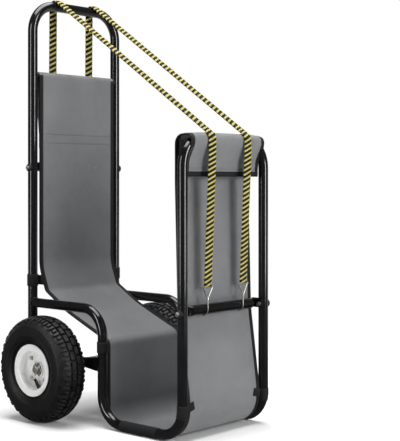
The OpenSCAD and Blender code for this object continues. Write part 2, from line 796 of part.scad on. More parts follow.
// Main run: down the back, over the crease, down the slope, riser, floor, front and flap.
// Each corner carries the radius that the cloth takes there.
riser_s = step_s + riser_gap;
front_panel_top = front_s - front_panel_top_back;
sling_run = thinned(concat(
  rounded([
    [panel_top.x, panel_top.y, 0],
    [panel_knee.x, panel_knee.y, 140],
    [crease_s, rail_z + crease_rise, 12],
    [slope_s[0], rail_z - slope_drop[0], 250],
    [slope_s[1], rail_z - slope_drop[1], 250],
    [riser_s, rail_z - lip_drop, 18],
    [riser_s, sling_floor_z, 45],
    [front_s - sling_lag, sling_floor_z, 68],
    [front_s - sling_lag, front_lean_z, 150],
    [front_s - front_panel_back, front_bar.y - bar_r, 300],
    [front_panel_top, flap_z - binding_w, 400],
    [front_panel_top, hoop_z + hoop_wrap_r, 21],
    [front_s, hoop_z + hoop_wrap_r, 0]
  ]),
  arc(hoop_c, hoop_wrap_r, 90, 0),
  rounded([[flap_front, hoop_z, 0], [flap_turn.x, flap_turn.y, 60], [flap_end.x, flap_end.y, 0]])
));

// Rear sleeve: over the sling bar and down behind, sewn to the panel below the seam.
tail_lap = cloth_t - 0.4;
seam_point = panel_at(seam_z) - [tail_lap, 0];
sleeve_run = thinned(concat(
  arc(sleeve_c, sleeve_r, sleeve_front, 360 + touch(seam_point, sleeve_c, sleeve_r, -1)),
  [seam_point, panel_at(seam_z - seam_tail) - [tail_lap, 0]]
));

module run_slab(run, t, x0, x1) {
  side_view(x0) mirror([0, 0, 1]) linear_extrude(height = x1 - x0) polygon(band(run, t));
}

module sling_cloth(t, half_w) {
  run_slab(sling_run, t, -half_w, half_w);
  run_slab(sleeve_run, t, -half_w, half_w);
}

sling_face_s = front_s - sling_lag + cloth_t / 2;

module sling() {
  color("#808183") sling_cloth(cloth_t, sling_half_w - binding_t);
}

// Black binding folded over both long edges and the end of the flap.
module sling_binding() {
  outer_t = cloth_t + 2 * binding_t;
  room_t = cloth_t + 2 * binding_room;
  room_half_w = sling_half_w - binding_t + binding_room;
  hem = [flap_end - flap_dir * binding_w, flap_end + flap_dir * binding_t];
  sleeve_clear = 2 * sling_bar_d;
  below_bar = [for (i = [1 : len(sling_run) - 1]) sling_run[i]];
  edge_run = concat([panel_at(sling_bar_z - sleeve_clear)], below_bar);
  color("#141414") difference() {
    union() {
      for (side = [-1, 1]) {
        x0 = side > 0 ? sling_half_w - binding_w : -sling_half_w;
        run_slab(edge_run, outer_t, x0, x0 + binding_w);
      }
      run_slab(hem, outer_t, -sling_half_w, sling_half_w);
    }
    sling_cloth(room_t, room_half_w);
    run_slab([flap_end, flap_end + flap_dir * binding_room], room_t, -room_half_w, room_half_w);
  }
}

// ---- Tabs and wraps -------------------------------------------------------

// Space of the sling's edge and all that lies ahead of it, for trimming a tongue.
module ahead_of_sling() {
  back = beside(sling_run, -(cloth_t / 2 + binding_t + seat_gap));
  side_view(-half_span) mirror([0, 0, 1]) linear_extrude(height = post_span)
    polygon(concat(back, [[2 * front_s, hoop_z], [2 * front_s, sling_top_z * 2], [0, sling_top_z * 2]]));
}

module tab_ring(r, h) { pipe(h, r + seat_gap + tab_t, r + seat_gap); }

tongue_trim = 1;      // how much lower and higher a ring stands than its tongue
post_tongue_l = 60;   // reach of the rear tongues, which the sling's edge trims
step_tongue_l = 30;   // reach of the step tongues, also trimmed by it
step_tab_h = tab_h - 4;

// Tongue from a ring to the sling's edge, seen from above as a strip along Y.
module tab_tongue(side, s, z, h, reach) {
  x = sling_half_w - tab_t;
  mirror([side < 0 ? 1 : 0, 0, 0])
    translate([x, y_at(s + reach), z]) cube([tab_t, reach, h]);
}

module post_tabs() {
  color("#191919") difference() {
    union() for (side = [-1, 1]) {
      translate([side * half_span, y_at(0), post_tab_z - tab_h / 2]) tab_ring(post_r, tab_h);
      tab_tongue(side, 0, post_tab_z - tab_h / 2 + tongue_trim, tab_h - 2 * tongue_trim, post_tongue_l);
    }
    ahead_of_sling();
    for (side = [-1, 1]) post_space(side);
  }
}

module step_tabs() {
  bottom = step_tab_top_z - step_tab_h;
  color("#191919") difference() {
    union() for (side = [-1, 1]) {
      translate([side * half_span, y_at(step_s), bottom]) tab_ring(rail_r, step_tab_h);
      tab_tongue(side, step_s, bottom + tongue_trim, step_tab_h - 2 * tongue_trim, step_tongue_l);
    }
    ahead_of_sling();
    for (side = [-1, 1]) translate([side * half_span, y_at(step_s), 0])
      cylinder(h = rail_z, r = rail_r + seat_gap);
  }
}

// Tabs that follow the front bend, each with a patch on the face of the sling.
module front_tabs() {
  bend_top = runner_z + rail_bend_r;
  tab_foot = bend_top - front_tab_drop;
  face = sling_face_s + binding_t + seat_gap;
  color("#191919") for (side = [-1, 1]) mirror([side < 0 ? 1 : 0, 0, 0]) {
    difference() {
      side_view(half_span) bent_tube(
        [[front_s - 2 * rail_bend_r, runner_z], [front_s, runner_z], [front_s, tab_foot + front_tab_h]],
        rail_bend_r, rail_r + seat_gap + tab_t, rail_r + seat_gap);
      translate([0, y_at(front_s + post_d), -post_d])
        cube([wheel_x, front_s, tab_foot + post_d]);
    }
    translate([half_span - patch_in, y_at(face + tab_t), bend_top - patch_drop])
      cube([patch_in - rail_r - seat_gap - tab_t / 2, tab_t, patch_h]);
  }
}

// Cloth wrapped round each runner, with a tongue lapped on the floor of the sling.
module runner_wraps() {
  wrap_r = rail_r + seat_gap + wrap_t;
  from = step_s + wrap_from;
  tongue_z = sling_floor_z + cloth_t / 2 + binding_t + seat_gap;
  tongue_w = 15;
  tongue_l = 46;
  color("#161616") for (side = [-1, 1]) mirror([side < 0 ? 1 : 0, 0, 0]) {
    intersection() {
      side_view(half_span) translate([from, runner_z, 0]) rotate([0, 90, 0])
        pipe(wrap_l, wrap_r, rail_r + seat_gap);
      translate([half_span - post_d, y_at(from + wrap_l + cut), 0])
        cube([2 * post_d, wrap_l + 2 * cut, 2 * post_d]);
    }
    translate([sling_half_w - tongue_w, y_at(from + wrap_l - tongue_w), tongue_z])
      cube([tongue_w + half_span - sling_half_w - wrap_edge(tongue_z + wrap_t), tongue_l, wrap_t]);
  }
}

// Half width of the hollow in a runner wrap at height z.
function wrap_edge(z) = sqrt(pow(rail_r + seat_gap, 2) - pow(runner_z - z, 2)) + wrap_t / 3;

// ---- Elastic straps and hooks ---------------------------------------------

handle_c = [0, handle_z];
span_dir = hoop_c - handle_c;
span_angle = atan2(span_dir.y, span_dir.x) + acos((strap_handle_r - strap_hoop_r) / norm(span_dir));
strap_run = thinned(concat(
  [rear_eye],
  arc(handle_c, strap_handle_r, 360 + touch(rear_eye, handle_c, strap_handle_r, -1), span_angle),
  arc(hoop_c, strap_hoop_r, span_angle, 0),
  rounded([
    [front_s + strap_hoop_r, hoop_z, 0],
    [front_s + strap_hoop_r, flap_turn_z, 150],
    [front_eye.x, front_eye.y, 0]
  ])
));

// One long flat strap, folded and sewn to an eye at each end.
module elastic_strap(side) {
  x0 = side * strap_pitch / 2 - strap_w / 2;
  color("#b9a52f") difference() {
    union() {
      run_slab(strap_run, strap_t, x0, x0 + strap_w);
      for (eye = [rear_eye, front_eye]) across(eye, x0) cylinder(h = strap_w, r = eye_r);
    }
    for (eye = [rear_eye, front_eye]) across(eye, x0 - cut)
      cylinder(h = strap_w + 2 * cut, r = eye_bore_r);
  }
}

// Wire hook: a triangle through the strap's eye, a collar, a stem, and a curl under the bar.
module wire_hook(x, bar, way) {
  leg_x = strap_w / 2 + eye_side_gap + wire_r + leg_room;
  fork = [0, fork_rise, 0];
  left = [-leg_x, eye_rise, 0];
  right = [leg_x, eye_rise, 0];
  corner_r = wire_r + 0.2;
  corner_w = wire_d - 0.2;
  collar_r = wire_r + 0.8;
  collar_h = 5;
  color(zinc) {
    front_view(bar.x + way * hook_reach) translate([x, bar.y, 0]) {
      for (ends = [[fork, left], [left, right], [right, fork], [fork, [0, 0, 0]]])
        stick(ends[0], ends[1], wire_r);
      for (p = [left, right]) translate([p.x, p.y, -corner_w / 2])
        cylinder(h = corner_w, r = corner_r);
      translate([0, fork_rise - collar_h / 2, 0]) rotate([-90, 0, 0])
        cylinder(h = collar_h, r = collar_r);
    }
    side_view(x) translate(bar) rotate([0, 0, 180])
      rotate_extrude(angle = 180) translate([hook_reach, 0]) circle(r = wire_r);
  }
}

module front_hooks() {
  for (side = [-1, 1]) wire_hook(side * strap_pitch / 2, front_bar, 1);
}

module rear_hooks() {
  for (side = [-1, 1]) wire_hook(side * strap_pitch / 2, rear_bar, -1);
}

// ---- Nodes ----------------------------------------------------------------

handle_hoop();
rear_post(-1);  // rear_post_left
rear_post(1);  // rear_post_right
post_plugs();
side_rail(-1);  // side_rail_left
side_rail(1);  // side_rail_right
lower_brace(-1);  // lower_brace_left
lower_brace(1);  // lower_brace_right
axle_tube();
front_hoop();
front_cross_bar();
rear_cross_bar();
sling_bar();
joint_bolts();
joint_nuts();
domed_washers();
axle();
axle_washers();
cotter_pins();
tyre(-1);  // tyre_left
inner_tube(-1);  // inner_tube_left
rim_outer(-1);  // rim_outer_left
rim_inner(-1);  // rim_inner_left
hub(-1);  // hub_left
bearings(-1);  // bearings_left
rim_bolts(-1);  // rim_bolts_left
rim_nuts(-1);  // rim_nuts_left
valve_stem(-1);  // valve_stem_left
valve_cap(-1);  // valve_cap_left
tyre(1);  // tyre_right
inner_tube(1);  // inner_tube_right
rim_outer(1);  // rim_outer_right
rim_inner(1);  // rim_inner_right
hub(1);  // hub_right
bearings(1);  // bearings_right
rim_bolts(1);  // rim_bolts_right
rim_nuts(1);  // rim_nuts_right
valve_stem(1);  // valve_stem_right
valve_cap(1);  // valve_cap_right
sling();
sling_binding();
post_tabs();
step_tabs();
front_tabs();
runner_wraps();
elastic_strap(-1);  // elastic_strap_left
elastic_strap(1);  // elastic_strap_right
front_hooks();
rear_hooks();
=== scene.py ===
import json
import math
from bisect import bisect_left

import bmesh
import bpy
from bpy.props import FloatProperty, FloatVectorProperty, IntProperty, PointerProperty
from mathutils import Matrix, Vector, noise

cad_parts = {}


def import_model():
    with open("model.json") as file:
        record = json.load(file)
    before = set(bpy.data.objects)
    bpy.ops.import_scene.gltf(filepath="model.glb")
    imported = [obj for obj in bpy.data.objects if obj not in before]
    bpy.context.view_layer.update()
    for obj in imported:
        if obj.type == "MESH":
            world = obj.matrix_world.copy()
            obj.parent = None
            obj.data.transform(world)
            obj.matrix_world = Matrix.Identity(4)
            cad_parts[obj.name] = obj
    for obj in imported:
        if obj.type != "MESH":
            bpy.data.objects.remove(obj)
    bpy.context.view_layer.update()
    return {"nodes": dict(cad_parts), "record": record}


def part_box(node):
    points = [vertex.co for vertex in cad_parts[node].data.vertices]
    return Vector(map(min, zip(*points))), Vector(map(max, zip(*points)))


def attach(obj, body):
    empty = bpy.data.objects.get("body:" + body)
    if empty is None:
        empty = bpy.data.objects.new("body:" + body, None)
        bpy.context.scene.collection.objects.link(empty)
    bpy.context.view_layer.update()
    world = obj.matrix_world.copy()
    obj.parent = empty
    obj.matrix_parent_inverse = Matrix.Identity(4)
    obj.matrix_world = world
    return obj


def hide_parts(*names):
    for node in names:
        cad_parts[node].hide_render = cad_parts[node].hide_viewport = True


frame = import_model()

bl_info = {
    "name": "Fireside Log Cart",
    "version": (1, 0, 0),
    "blender": (4, 5, 0),
    "location": "3D View > Sidebar > Log Cart",
    "description": "Dresses the packed log cart: cloth sling, straps, webbing, tyres, fasteners and studio",
    "category": "Object",
}

MM = 0.001
AWAY = (0.737, 0.676, 0.0)  # level direction from the camera to the cart


# --- Sizes and colours a user would change ---


def length(name, text, value):
    """A length property: value is in millimetres, stored in metres."""
    return FloatProperty(name=name, description=text, default=value * MM, unit="LENGTH", precision=4)


def paint(name, text, code):
    """A colour property written as an sRGB hex value, stored linear."""
    return FloatVectorProperty(
        name=name, description=text, default=linear(code)[:3], size=3, subtype="COLOR", min=0, max=1
    )


def linear(code, alpha=1.0):
    """An sRGB hex colour turned to linear red, green, blue, alpha."""
    parts = [int(code[i : i + 2], 16) / 255 for i in (1, 3, 5)]
    return (*[p / 12.92 if p <= 0.04045 else ((p + 0.055) / 1.055) ** 2.4 for p in parts], alpha)


class CartFrameSizes(bpy.types.PropertyGroup):
    """Places on the steel frame that the cloth, the straps and the welds follow."""

    middle: length("Middle", "Distance forward from the rear posts to the middle of the cart", 257.4)
    half_span: length("Half span", "Middle of the cart to the middle of either post", 146)
    post_r: length("Post radius", "Outside radius of the rear posts and handle", 12.5)
    rail_r: length("Rail radius", "Outside radius of the rails, braces and front hoop", 12)
    step_s: length("Step", "Rear posts to the step tubes", 259)
    front_s: length("Front legs", "Rear posts to the front legs", 519)
    rail_z: length("Rail height", "Upper run of the side rails above the floor", 281)
    runner_z: length("Runner height", "Middle of the runners above the floor", 13)
    brace_z: length("Brace height", "Middle of the lower braces above the floor", 150)
    handle_z: length("Handle height", "Middle of the handle bar above the floor", 1045)
    hoop_z: length("Hoop height", "Middle of the front hoop's bar above the floor", 688)
    rail_bend_r: length("Rail bend", "Bend radius of the side rails", 65)
    rear_bar_back: length("Rear bar set-back", "Rear joint bolts back to the rear cross bar", 5)
    front_bar_back: length("Front bar set-back", "Front joint bolts back to the front cross bar", 10)
    bar_rise: length("Bar rise", "Height of a cross bar's middle above its bolts", 3)
    bar_r: length("Cross bar radius", "Outside radius of the cross bars", 12)
    sling_bar_r: length("Sling bar radius", "Outside radius of the bar in the rear sleeve", 8)
    axle_tube_r: length("Axle tube radius", "Outside radius of the axle tube", 11)
    flat_h: length("Flat height", "Half the height of a lower brace's flattened end", 17)
    flat_t: length("Flat thickness", "Half the thickness of that end", 4)
    rear_bolt_z: length("Rear bolts", "Rear joint bolts above the floor", 625)
    front_bolt_z: length("Front bolts", "Front joint bolts above the floor", 293)
    weld_gap: length("Weld gap", "Air between two tubes, which a weld covers", 0.2)
    weld_r: length("Weld bead", "Radius of a weld bead", 1.7)
    ripple: length("Ripple", "Distance from one ripple of a weld bead to the next", 3.2)
    axle_s: length("Axle", "Rear posts to the axle", 105)
    axle_z: length("Axle height", "Axle above the floor", 130)


class SlingSizes(bpy.types.PropertyGroup):
    """The cloth sling and the tape on its edges."""

    half_w: length("Half width", "Middle of the sling to its bound edge", 131.7)
    cloth_t: length("Cloth thickness", "Thickness of the doubled cloth", 2)
    binding_w: length("Binding width", "Width of the edge tape on each face", 12)
    tape_t: length("Tape thickness", "How far the edge tape stands off the cloth", 0.6)
    bar_z: length("Sleeve bar", "Middle of the bar in the rear sleeve above the floor", 861.7)
    sleeve_r: length("Sleeve radius", "Bar centre to the middle of the cloth round it", 9.3)
    hoop_wrap_r: length("Hoop wrap", "Hoop centre to the middle of the cloth over it", 13.9)
    seam_z: length("Upper seam", "Seam that closes the rear sleeve above the floor", 711)
    seam_tail: length("Sewn tail", "Cloth sewn down below that seam", 35)
    flap_z: length("Flap end", "Lower edge of the front flap above the floor", 602)
    flap_bend_z: length("Flap bend", "Height at which the flap turns down between the legs", 640)
    flap_lean: length("Flap lean", "How far the flap leans back in each of its upright stretches", 1)
    flap_behind: length("Flap behind", "Lower edge of the flap behind the front legs' centres", 7.5)
    floor_z: length("Sling floor", "Middle of the sling's floor above the ground", 4)
    wrinkle: length("Wrinkles", "Height of the soft folds in the cloth", 2.4)
    droop: length("Droop", "How much lower the cloth hangs at its edges over the front hoop", 4.5)
    station: length("Station", "Spacing of the mesh rows along the cloth", 6.5)
    seam_gap: length("Seam gap", "Distance between the two seams under the rear sleeve", 22)
    hem_seam: length("Hem seam", "Lower of the two seams above the flap's end, above that end", 16)
    stitch: length("Stitch", "Distance from one stitch to the next", 4.4)
    thread_r: length("Thread radius", "Radius of the thread in the seams", 0.42)
    columns: IntProperty(name="Columns", description="Mesh columns across the cloth", default=44, min=8)
    cloth: paint("Cloth", "Grey woven polyester", "#737476")
    tape: paint("Tape", "Black edge tape and webbing", "#0c0c0d")
    thread: paint("Thread", "Grey sewing thread", "#5c5d5f")


class StrapSizes(bpy.types.PropertyGroup):
    """The two elastic straps and their wire hooks."""

    pitch: length("Pitch", "Distance between the middles of the two straps", 128)
    width: length("Width", "Width of a strap", 25)
    thick: length("Thickness", "Thickness of a strap", 5)
    stripe: length("Stripe", "Distance from one yellow stripe to the next, behind the rear posts", 13.1)
    span_stripe: length("Stripe on the span", "The same where the strap is stretched most", 14.6)
    front_stripe: length("Stripe in front", "The same on the front panel", 11.2)
    turns: IntProperty(name="Turns", description="Stripes that one turn round the strap crosses", default=2)
    relief: length("Relief", "How far the stripes stand up", 0.3)
    eye_rise: length("Eye", "Cross bar centre up to the strap's sewn eye", 52)
    turn_z: length("Strap turn", "Height at which a strap leaves the line of the front hoop", 658)
    wire_r: length("Wire", "Radius of the hook wire", 1.5)
    wire_gap: length("Wire gap", "Air between a cross bar and the hook wire round it", 0.3)
    tack_r: length("Bar tack radius", "Radius of the thread that closes a strap's eye", 0.45)
    station: length("Station", "Spacing of the mesh rows along a strap", 2.8)
    handle_wrap_r: length("Handle wrap", "Handle centre to the middle of the strap over it", 15.3)
    hoop_wrap_r: length("Hoop wrap", "Hoop centre to the middle of the strap over it", 18.3)
    yellow: paint("Yellow", "Olive-yellow elastic yarn", "#b8ad62")
    black: paint("Black", "Black elastic yarn", "#0c0a06")


class TyreSizes(bpy.types.PropertyGroup):
    """The block tread tyres."""

    out: length("Wheel", "Rear post centre to the wheel's middle plane", 58)
    half_w: length("Half width", "Half the width of a tyre", 42.5)
    tread_r: length("Tread radius", "Outside radius of a tyre", 130)
    middle_r: length("Widest", "Radius at which the tyre is widest", 96)
    lug_h: length("Lug height", "Depth of the tread grooves", 6)
    wall: length("Wall", "Thickness of the carcass", 5)
    seat_r: length("Bead seat", "Radius where the tyre leaves the rim flange", 63.5)
    bead_r: length("Bead", "Inside radius of the beads", 49.8)
    bead_w: length("Bead face", "Wheel's middle plane to the face of a bead", 30.7)
    inner_r: length("Inner radius", "Radius to which the section's lower half would run on", 62)
    cavity_r: length("Cavity", "The same for the air cavity", 64)
    bead_t: length("Bead thickness", "Thickness of a bead where it opens to the cavity", 11)
    pitches: IntProperty(name="Pitches", description="Blocks round each centre row", default=34, min=12)
    square: FloatProperty(name="Squareness", description="Power of the rounded square", default=2.6)


class TabSizes(bpy.types.PropertyGroup):
    """The webbing tabs and the cloth wraps that tie the sling to the tubes."""

    thick: length("Thickness", "Thickness of the tab webbing", 1.4)
    air: length("Air", "Air between a tab or a wrap and its tube", 0.3)
    high: length("Height", "Height of a tab on a rear post", 30)
    post_z: length("Post tabs", "Middle of the tabs on the rear posts above the floor", 338)
    step_z: length("Step tabs", "Middle of the tabs on the step tubes above the floor", 192)
    step_high: length("Step tab height", "Height of a tab on a step tube", 26)
    front_low: length("Front tab foot", "Lower edge of the front tabs above the floor", 59)
    front_high: length("Front tab top", "Upper edge of the front tabs above the floor", 87)
    patch_z: length("Patch height", "Outer end of a front tab's sewn part above the floor", 77)
    patch_x: length("Patch", "Middle of the cart to that end", 131)
    wrap_from: length("Wrap start", "Rear posts to the rear end of a runner wrap", 327)
    wrap_to: length("Wrap end", "Rear posts to the front end of a runner wrap", 445)


class StageLook(bpy.types.PropertyGroup):
    """Camera place and the light of the studio."""

    camera_x: length("Camera X", "Camera place across the cart", -1968.3)
    camera_y: length("Camera Y", "Camera place along the cart", -1923.8)
    camera_z: length("Camera height", "Camera above the floor", 593.6)
    azimuth: FloatProperty(name="Azimuth", description="Level turn of the camera, degrees", default=47.5)
    focal: FloatProperty(name="Focal length", description="In image heights", default=1100 / 441)
    shift_x: FloatProperty(name="Shift X", description="Sideways shift of the image", default=20 / 441)
    shift_y: FloatProperty(name="Shift Y", description="Upward shift of the image", default=-40.5 / 441)
    backdrop: paint("Backdrop", "Floor and backdrop", "#f6f6f6")


# --- Plane geometry in the cart's side view: x is forward, y is up, in metres ---


def sizes():
    return bpy.context.scene.log_cart_frame


def sling():
    return bpy.context.scene.log_cart_sling


def strap():
    return bpy.context.scene.log_cart_strap


def tabs():
    return bpy.context.scene.log_cart_tab


def turned(v, angle):
    return Vector(
        (v.x * math.cos(angle) - v.y * math.sin(angle), v.x * math.sin(angle) + v.y * math.cos(angle))
    )


def arc(centre, radius, first, last, step=math.radians(8)):
    """Points on a circle from one angle to another, in degrees."""
    first, last = math.radians(first), math.radians(last)
    count = max(1, math.ceil(abs(last - first) / step))
    turns = [first + (last - first) * k / count for k in range(count + 1)]
    return [centre + radius * Vector((math.cos(a), math.sin(a))) for a in turns]


def touch(point, centre, radius, side):
    """Angle in degrees at which a line from point touches the circle."""
    away = point - centre
    return math.degrees(math.atan2(away.y, away.x) + side * math.acos(radius / away.length))


def rounded(corners):
    """A route through (forward, up, radius) corners, rounded at every inner corner."""
    out = []
    for i, (x, y, radius) in enumerate(corners):
        here = Vector((x, y))
        if i in (0, len(corners) - 1):
            out.append(here)
            continue
        before, after = (Vector(corners[i + k][:2]) for k in (-1, 1))
        a, b = (here - before).normalized(), (after - here).normalized()
        phi = math.atan2(a.x * b.y - a.y * b.x, a.dot(b))
        start = here - a * radius * math.tan(abs(phi) / 2)
        centre = start + Vector((-a.y, a.x)) * math.copysign(radius, phi)
        count = max(1, math.ceil(abs(phi) / math.radians(6)))
        out += [centre + turned(start - centre, phi * k / count) for k in range(count + 1)]
    return out


def spaced(route, step, seams=()):
    """The route again, with points every step, and its running length at each.

    Rows lie close together on either side of each running length in seams.
    """
    points = [route[0]]
    for p in route[1:]:
        if (p - points[-1]).length > 0.00005:
            points.append(p)
    gone = [0.0]
    for a, b in zip(points, points[1:]):
        gone.append(gone[-1] + (b - a).length)
    count = max(2, round(gone[-1] / step))
    wants = [gone[-1] * i / count for i in range(count + 1)]
    wants = [w for w in wants if all(abs(w - g) > 5 * MM for g in seams)]
    wants += [g + k * MM for g in seams for k in range(-5, 6) if 0 < g + k * MM < gone[-1]]
    out, k, last = [], 0, -1.0
    for want in sorted(wants):
        if want - last < 0.4 * MM:
            continue
        last = want
        while k < len(gone) - 2 and gone[k + 1] < want:
            k += 1
        t = (want - gone[k]) / (gone[k + 1] - gone[k])
        out.append((points[k].lerp(points[k + 1], min(1, max(0, t))), want))
    return out


def length_at(route, height, after=0.0):
    """Running length at which the route passes a height, beyond a first length."""
    gone = 0.0
    for a, b in zip(route, route[1:]):
        if a.y != b.y and (a.y - height) * (b.y - height) <= 0:
            here = gone + (b - a).length * (height - a.y) / (b.y - a.y)
            if here >= after:
                return here
        gone += (b - a).length
    raise ValueError("the route doesn't pass that height")


def world(point, x=0.0):
    """A side view point at x across the cart, in the row frame."""
    return Vector((x, sizes().middle - point.x, point.y))


def side_frames(route, step, seams=()):
    """Sweep frames along a side view route: X across the cart, Y off its left side."""
    stations = spaced(route, step, seams)
    frames = []
    for i, (p, gone) in enumerate(stations):
        a, b = stations[max(0, i - 1)][0], stations[min(len(stations) - 1, i + 1)][0]
        d = (b - a).normalized()
        off = Vector((0, d.y, d.x))
        frames.append((frame_at(world(p), Vector((1, 0, 0)), off), gone))
    return frames


def frame_at(origin, x_axis, y_axis):
    z_axis = x_axis.cross(y_axis)
    m = Matrix((x_axis, y_axis, z_axis)).transposed().to_4x4()
    m.translation = origin
    return m


def smooth(low, high, value):
    t = min(1, max(0, (value - low) / (high - low)))
    return t * t * (3 - 2 * t)


# --- Mesh tools ---


def sweep(bm, frames, section, closed=True, caps=True):
    """Carries a section along frames with the extrude operator, and lays UVs in metres.

    section is a list of (x, y) in a frame's own axes; frames are (matrix, running length).
    UV x is the way round the section, and UV y the way along the frames.
    """
    along = bm.verts.layers.float.get("along") or bm.verts.layers.float.new("along")
    around = bm.verts.layers.float.get("around") or bm.verts.layers.float.new("around")
    fresh = []
    matrix, gone = frames[0]
    ring, way = [], 0.0
    for i, (x, y) in enumerate(section):
        if i:
            way += math.dist(section[i], section[i - 1])
        v = bm.verts.new(matrix @ Vector((x, y, 0)))
        v[around], v[along] = way, gone
        ring.append(v)
    pairs = list(zip(ring, ring[1:])) + ([(ring[-1], ring[0])] if closed else [])
    edges = [bm.edges.new(p) for p in pairs]
    first = list(ring)
    total = way + math.dist(section[0], section[-1])
    for before, after in zip(frames, frames[1:]):
        made = bmesh.ops.extrude_edge_only(bm, edges=edges)["geom"]
        edges = [g for g in made if isinstance(g, bmesh.types.BMEdge)]
        ring = [g for g in made if isinstance(g, bmesh.types.BMVert)]
        fresh += [g for g in made if isinstance(g, bmesh.types.BMFace)]
        bmesh.ops.transform(bm, matrix=after[0] @ before[0].inverted(), verts=ring)
        for v in ring:
            v[along] = after[1]
    if closed and caps:
        for end in (first, ring):
            fresh += bmesh.ops.contextual_create(bm, geom=end)["faces"]
    uv = bm.loops.layers.uv.get("UVMap") or bm.loops.layers.uv.new("UVMap")
    for face in fresh:
        values = [loop.vert[around] for loop in face.loops]
        wraps = closed and len(values) == 4 and max(values) - min(values) > total / 2
        for loop, value in zip(face.loops, values):
            loop[uv].uv = (value + (total if wraps and value < total / 2 else 0), loop.vert[along])
    return fresh


def box_section(width, thick, corner, steps=3):
    """A flat bar's section with round corners, centred."""
    out = []
    for sx, sy, start in ((1, 1, 0), (-1, 1, 90), (-1, -1, 180), (1, -1, 270)):
        centre = Vector((sx * (width / 2 - corner), sy * (thick / 2 - corner)))
        out += [tuple(p) for p in arc(centre, corner, start, start + 90, math.radians(90 / steps))]
    return out


def round_turns(count):
    """Angles once round a circle: count steps, with both ends."""
    return [2 * math.pi * k / count for k in range(count + 1)]


def round_section(radius, count=16):
    return [(radius * math.cos(a), radius * math.sin(a)) for a in round_turns(count)[:-1]]


def path_frames(points):
    """Frames along a bent line in space that don't twist about it."""
    frames, gone = [], 0.0
    x_axis = None
    for i, p in enumerate(points):
        d = (points[min(i + 1, len(points) - 1)] - points[max(i - 1, 0)]).normalized()
        if x_axis is None:
            x_axis = d.orthogonal().normalized()
        x_axis = (x_axis - d * x_axis.dot(d)).normalized()
        if i:
            gone += (p - points[i - 1]).length
        frames.append((frame_at(p, x_axis, d.cross(x_axis)), gone))
    return frames


def softened(points, radius, count=6):
    """A line in space with each inner corner cut back to a curve."""
    out = [points[0]]
    for before, here, after in zip(points, points[1:], points[2:]):
        a, b = here - before, after - here
        reach = min(radius, a.length * 0.49, b.length * 0.49)
        start, end = here - a.normalized() * reach, here + b.normalized() * reach
        for k in range(count + 1):
            t = k / count
            out.append(start.lerp(here, t).lerp(here.lerp(end, t), t))
    return out + [points[-1]]


def placed(bm, name, material):
    """A new object from a bmesh, at the origin, unturned."""
    mesh = bpy.data.meshes.new(name)
    bm.to_mesh(mesh)
    bm.free()
    mesh.materials.append(material)
    piece = bpy.data.objects.new(name, mesh)
    bpy.context.scene.collection.objects.link(piece)
    return piece


def finished(bm, name, slot, replaces=(), body="frame", material=None):
    """Turns a bmesh into a smooth piece in its slot, which rides on a body."""
    bmesh.ops.remove_doubles(bm, verts=bm.verts, dist=1e-7)
    bmesh.ops.recalc_face_normals(bm, faces=bm.faces)
    for key in ("along", "around"):
        layer = bm.verts.layers.float.get(key)
        if layer:
            bm.verts.layers.float.remove(layer)
    for face in bm.faces:
        face.smooth = True
    piece = placed(bm, name, material or finish_of(slot))
    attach(piece, body)
    if replaces:
        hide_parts(*replaces)
    return piece


def sharpen(piece, degrees):
    """Marks the edges that are sharper than the angle, so that only the rest shade smooth."""
    limit = math.radians(degrees)
    bm = bmesh.new()
    bm.from_mesh(piece.data)
    for edge in bm.edges:
        edge.smooth = not (edge.is_manifold and edge.calc_face_angle(0) > limit)
    bm.to_mesh(piece.data)
    bm.free()


# --- Materials ---


def add(tree, kind, inputs=None, **settings):
    """Adds a node with its settings; an input is a value, or a socket to link from."""
    made = tree.nodes.new(kind)
    for name, value in settings.items():
        setattr(made, name, value)
    for name, value in (inputs or {}).items():
        if isinstance(value, bpy.types.NodeSocket):
            tree.links.new(value, made.inputs[name])
        else:
            made.inputs[name].default_value = value
    return made


def new_material(name, **shader):
    """A material with one Principled shader; shader holds its own socket values."""
    material = bpy.data.materials.new(name)
    material.use_nodes = True
    tree = material.node_tree
    tree.nodes.clear()
    bsdf = add(tree, "ShaderNodeBsdfPrincipled", {k.replace("_", " "): v for k, v in shader.items()})
    add(tree, "ShaderNodeOutputMaterial", {"Surface": bsdf.outputs[0]})
    return material, tree, bsdf


def feed(tree, bsdf, **sockets):
    """Links colours and values to the shader's own sockets."""
    for name, value in sockets.items():
        tree.links.new(value, bsdf.inputs[name.replace("_", " ")])


def shade(colour, share=1.0, lift=0.0):
    """A linear colour made darker or lighter, with its alpha."""
    return (*[min(1, c * share + lift) for c in colour], 1)


def mixed(tree, factor, a, b):
    """Colour a, going to b as factor goes to 1."""
    return add(tree, "ShaderNodeMix", {0: factor, 6: a, 7: b}, data_type="RGBA").outputs[2]


def blended(tree, factor, a, b):
    """Value a, going to b as factor goes to 1."""
    return add(tree, "ShaderNodeMix", {0: factor, 2: a, 3: b}).outputs[0]


def ranged(tree, value, low, high, to_low, to_high, kind="LINEAR"):
    inputs = {"Value": value, "From Min": low, "From Max": high, "To Min": to_low, "To Max": to_high}
    return add(tree, "ShaderNodeMapRange", inputs, interpolation_type=kind).outputs[0]


def maths(tree, operation, a, b=0.0, clamp=False):
    return add(tree, "ShaderNodeMath", {0: a, 1: b}, operation=operation, use_clamp=clamp).outputs[0]


def times(tree, a, b):
    return maths(tree, "MULTIPLY", a, b)


def plus(tree, a, b):
    return maths(tree, "ADD", a, b)


def from_axis(tree, a, b):
    """Distance from the axis that a and b are measured square to."""
    return maths(tree, "SQRT", plus(tree, times(tree, a, a), times(tree, b, b)))


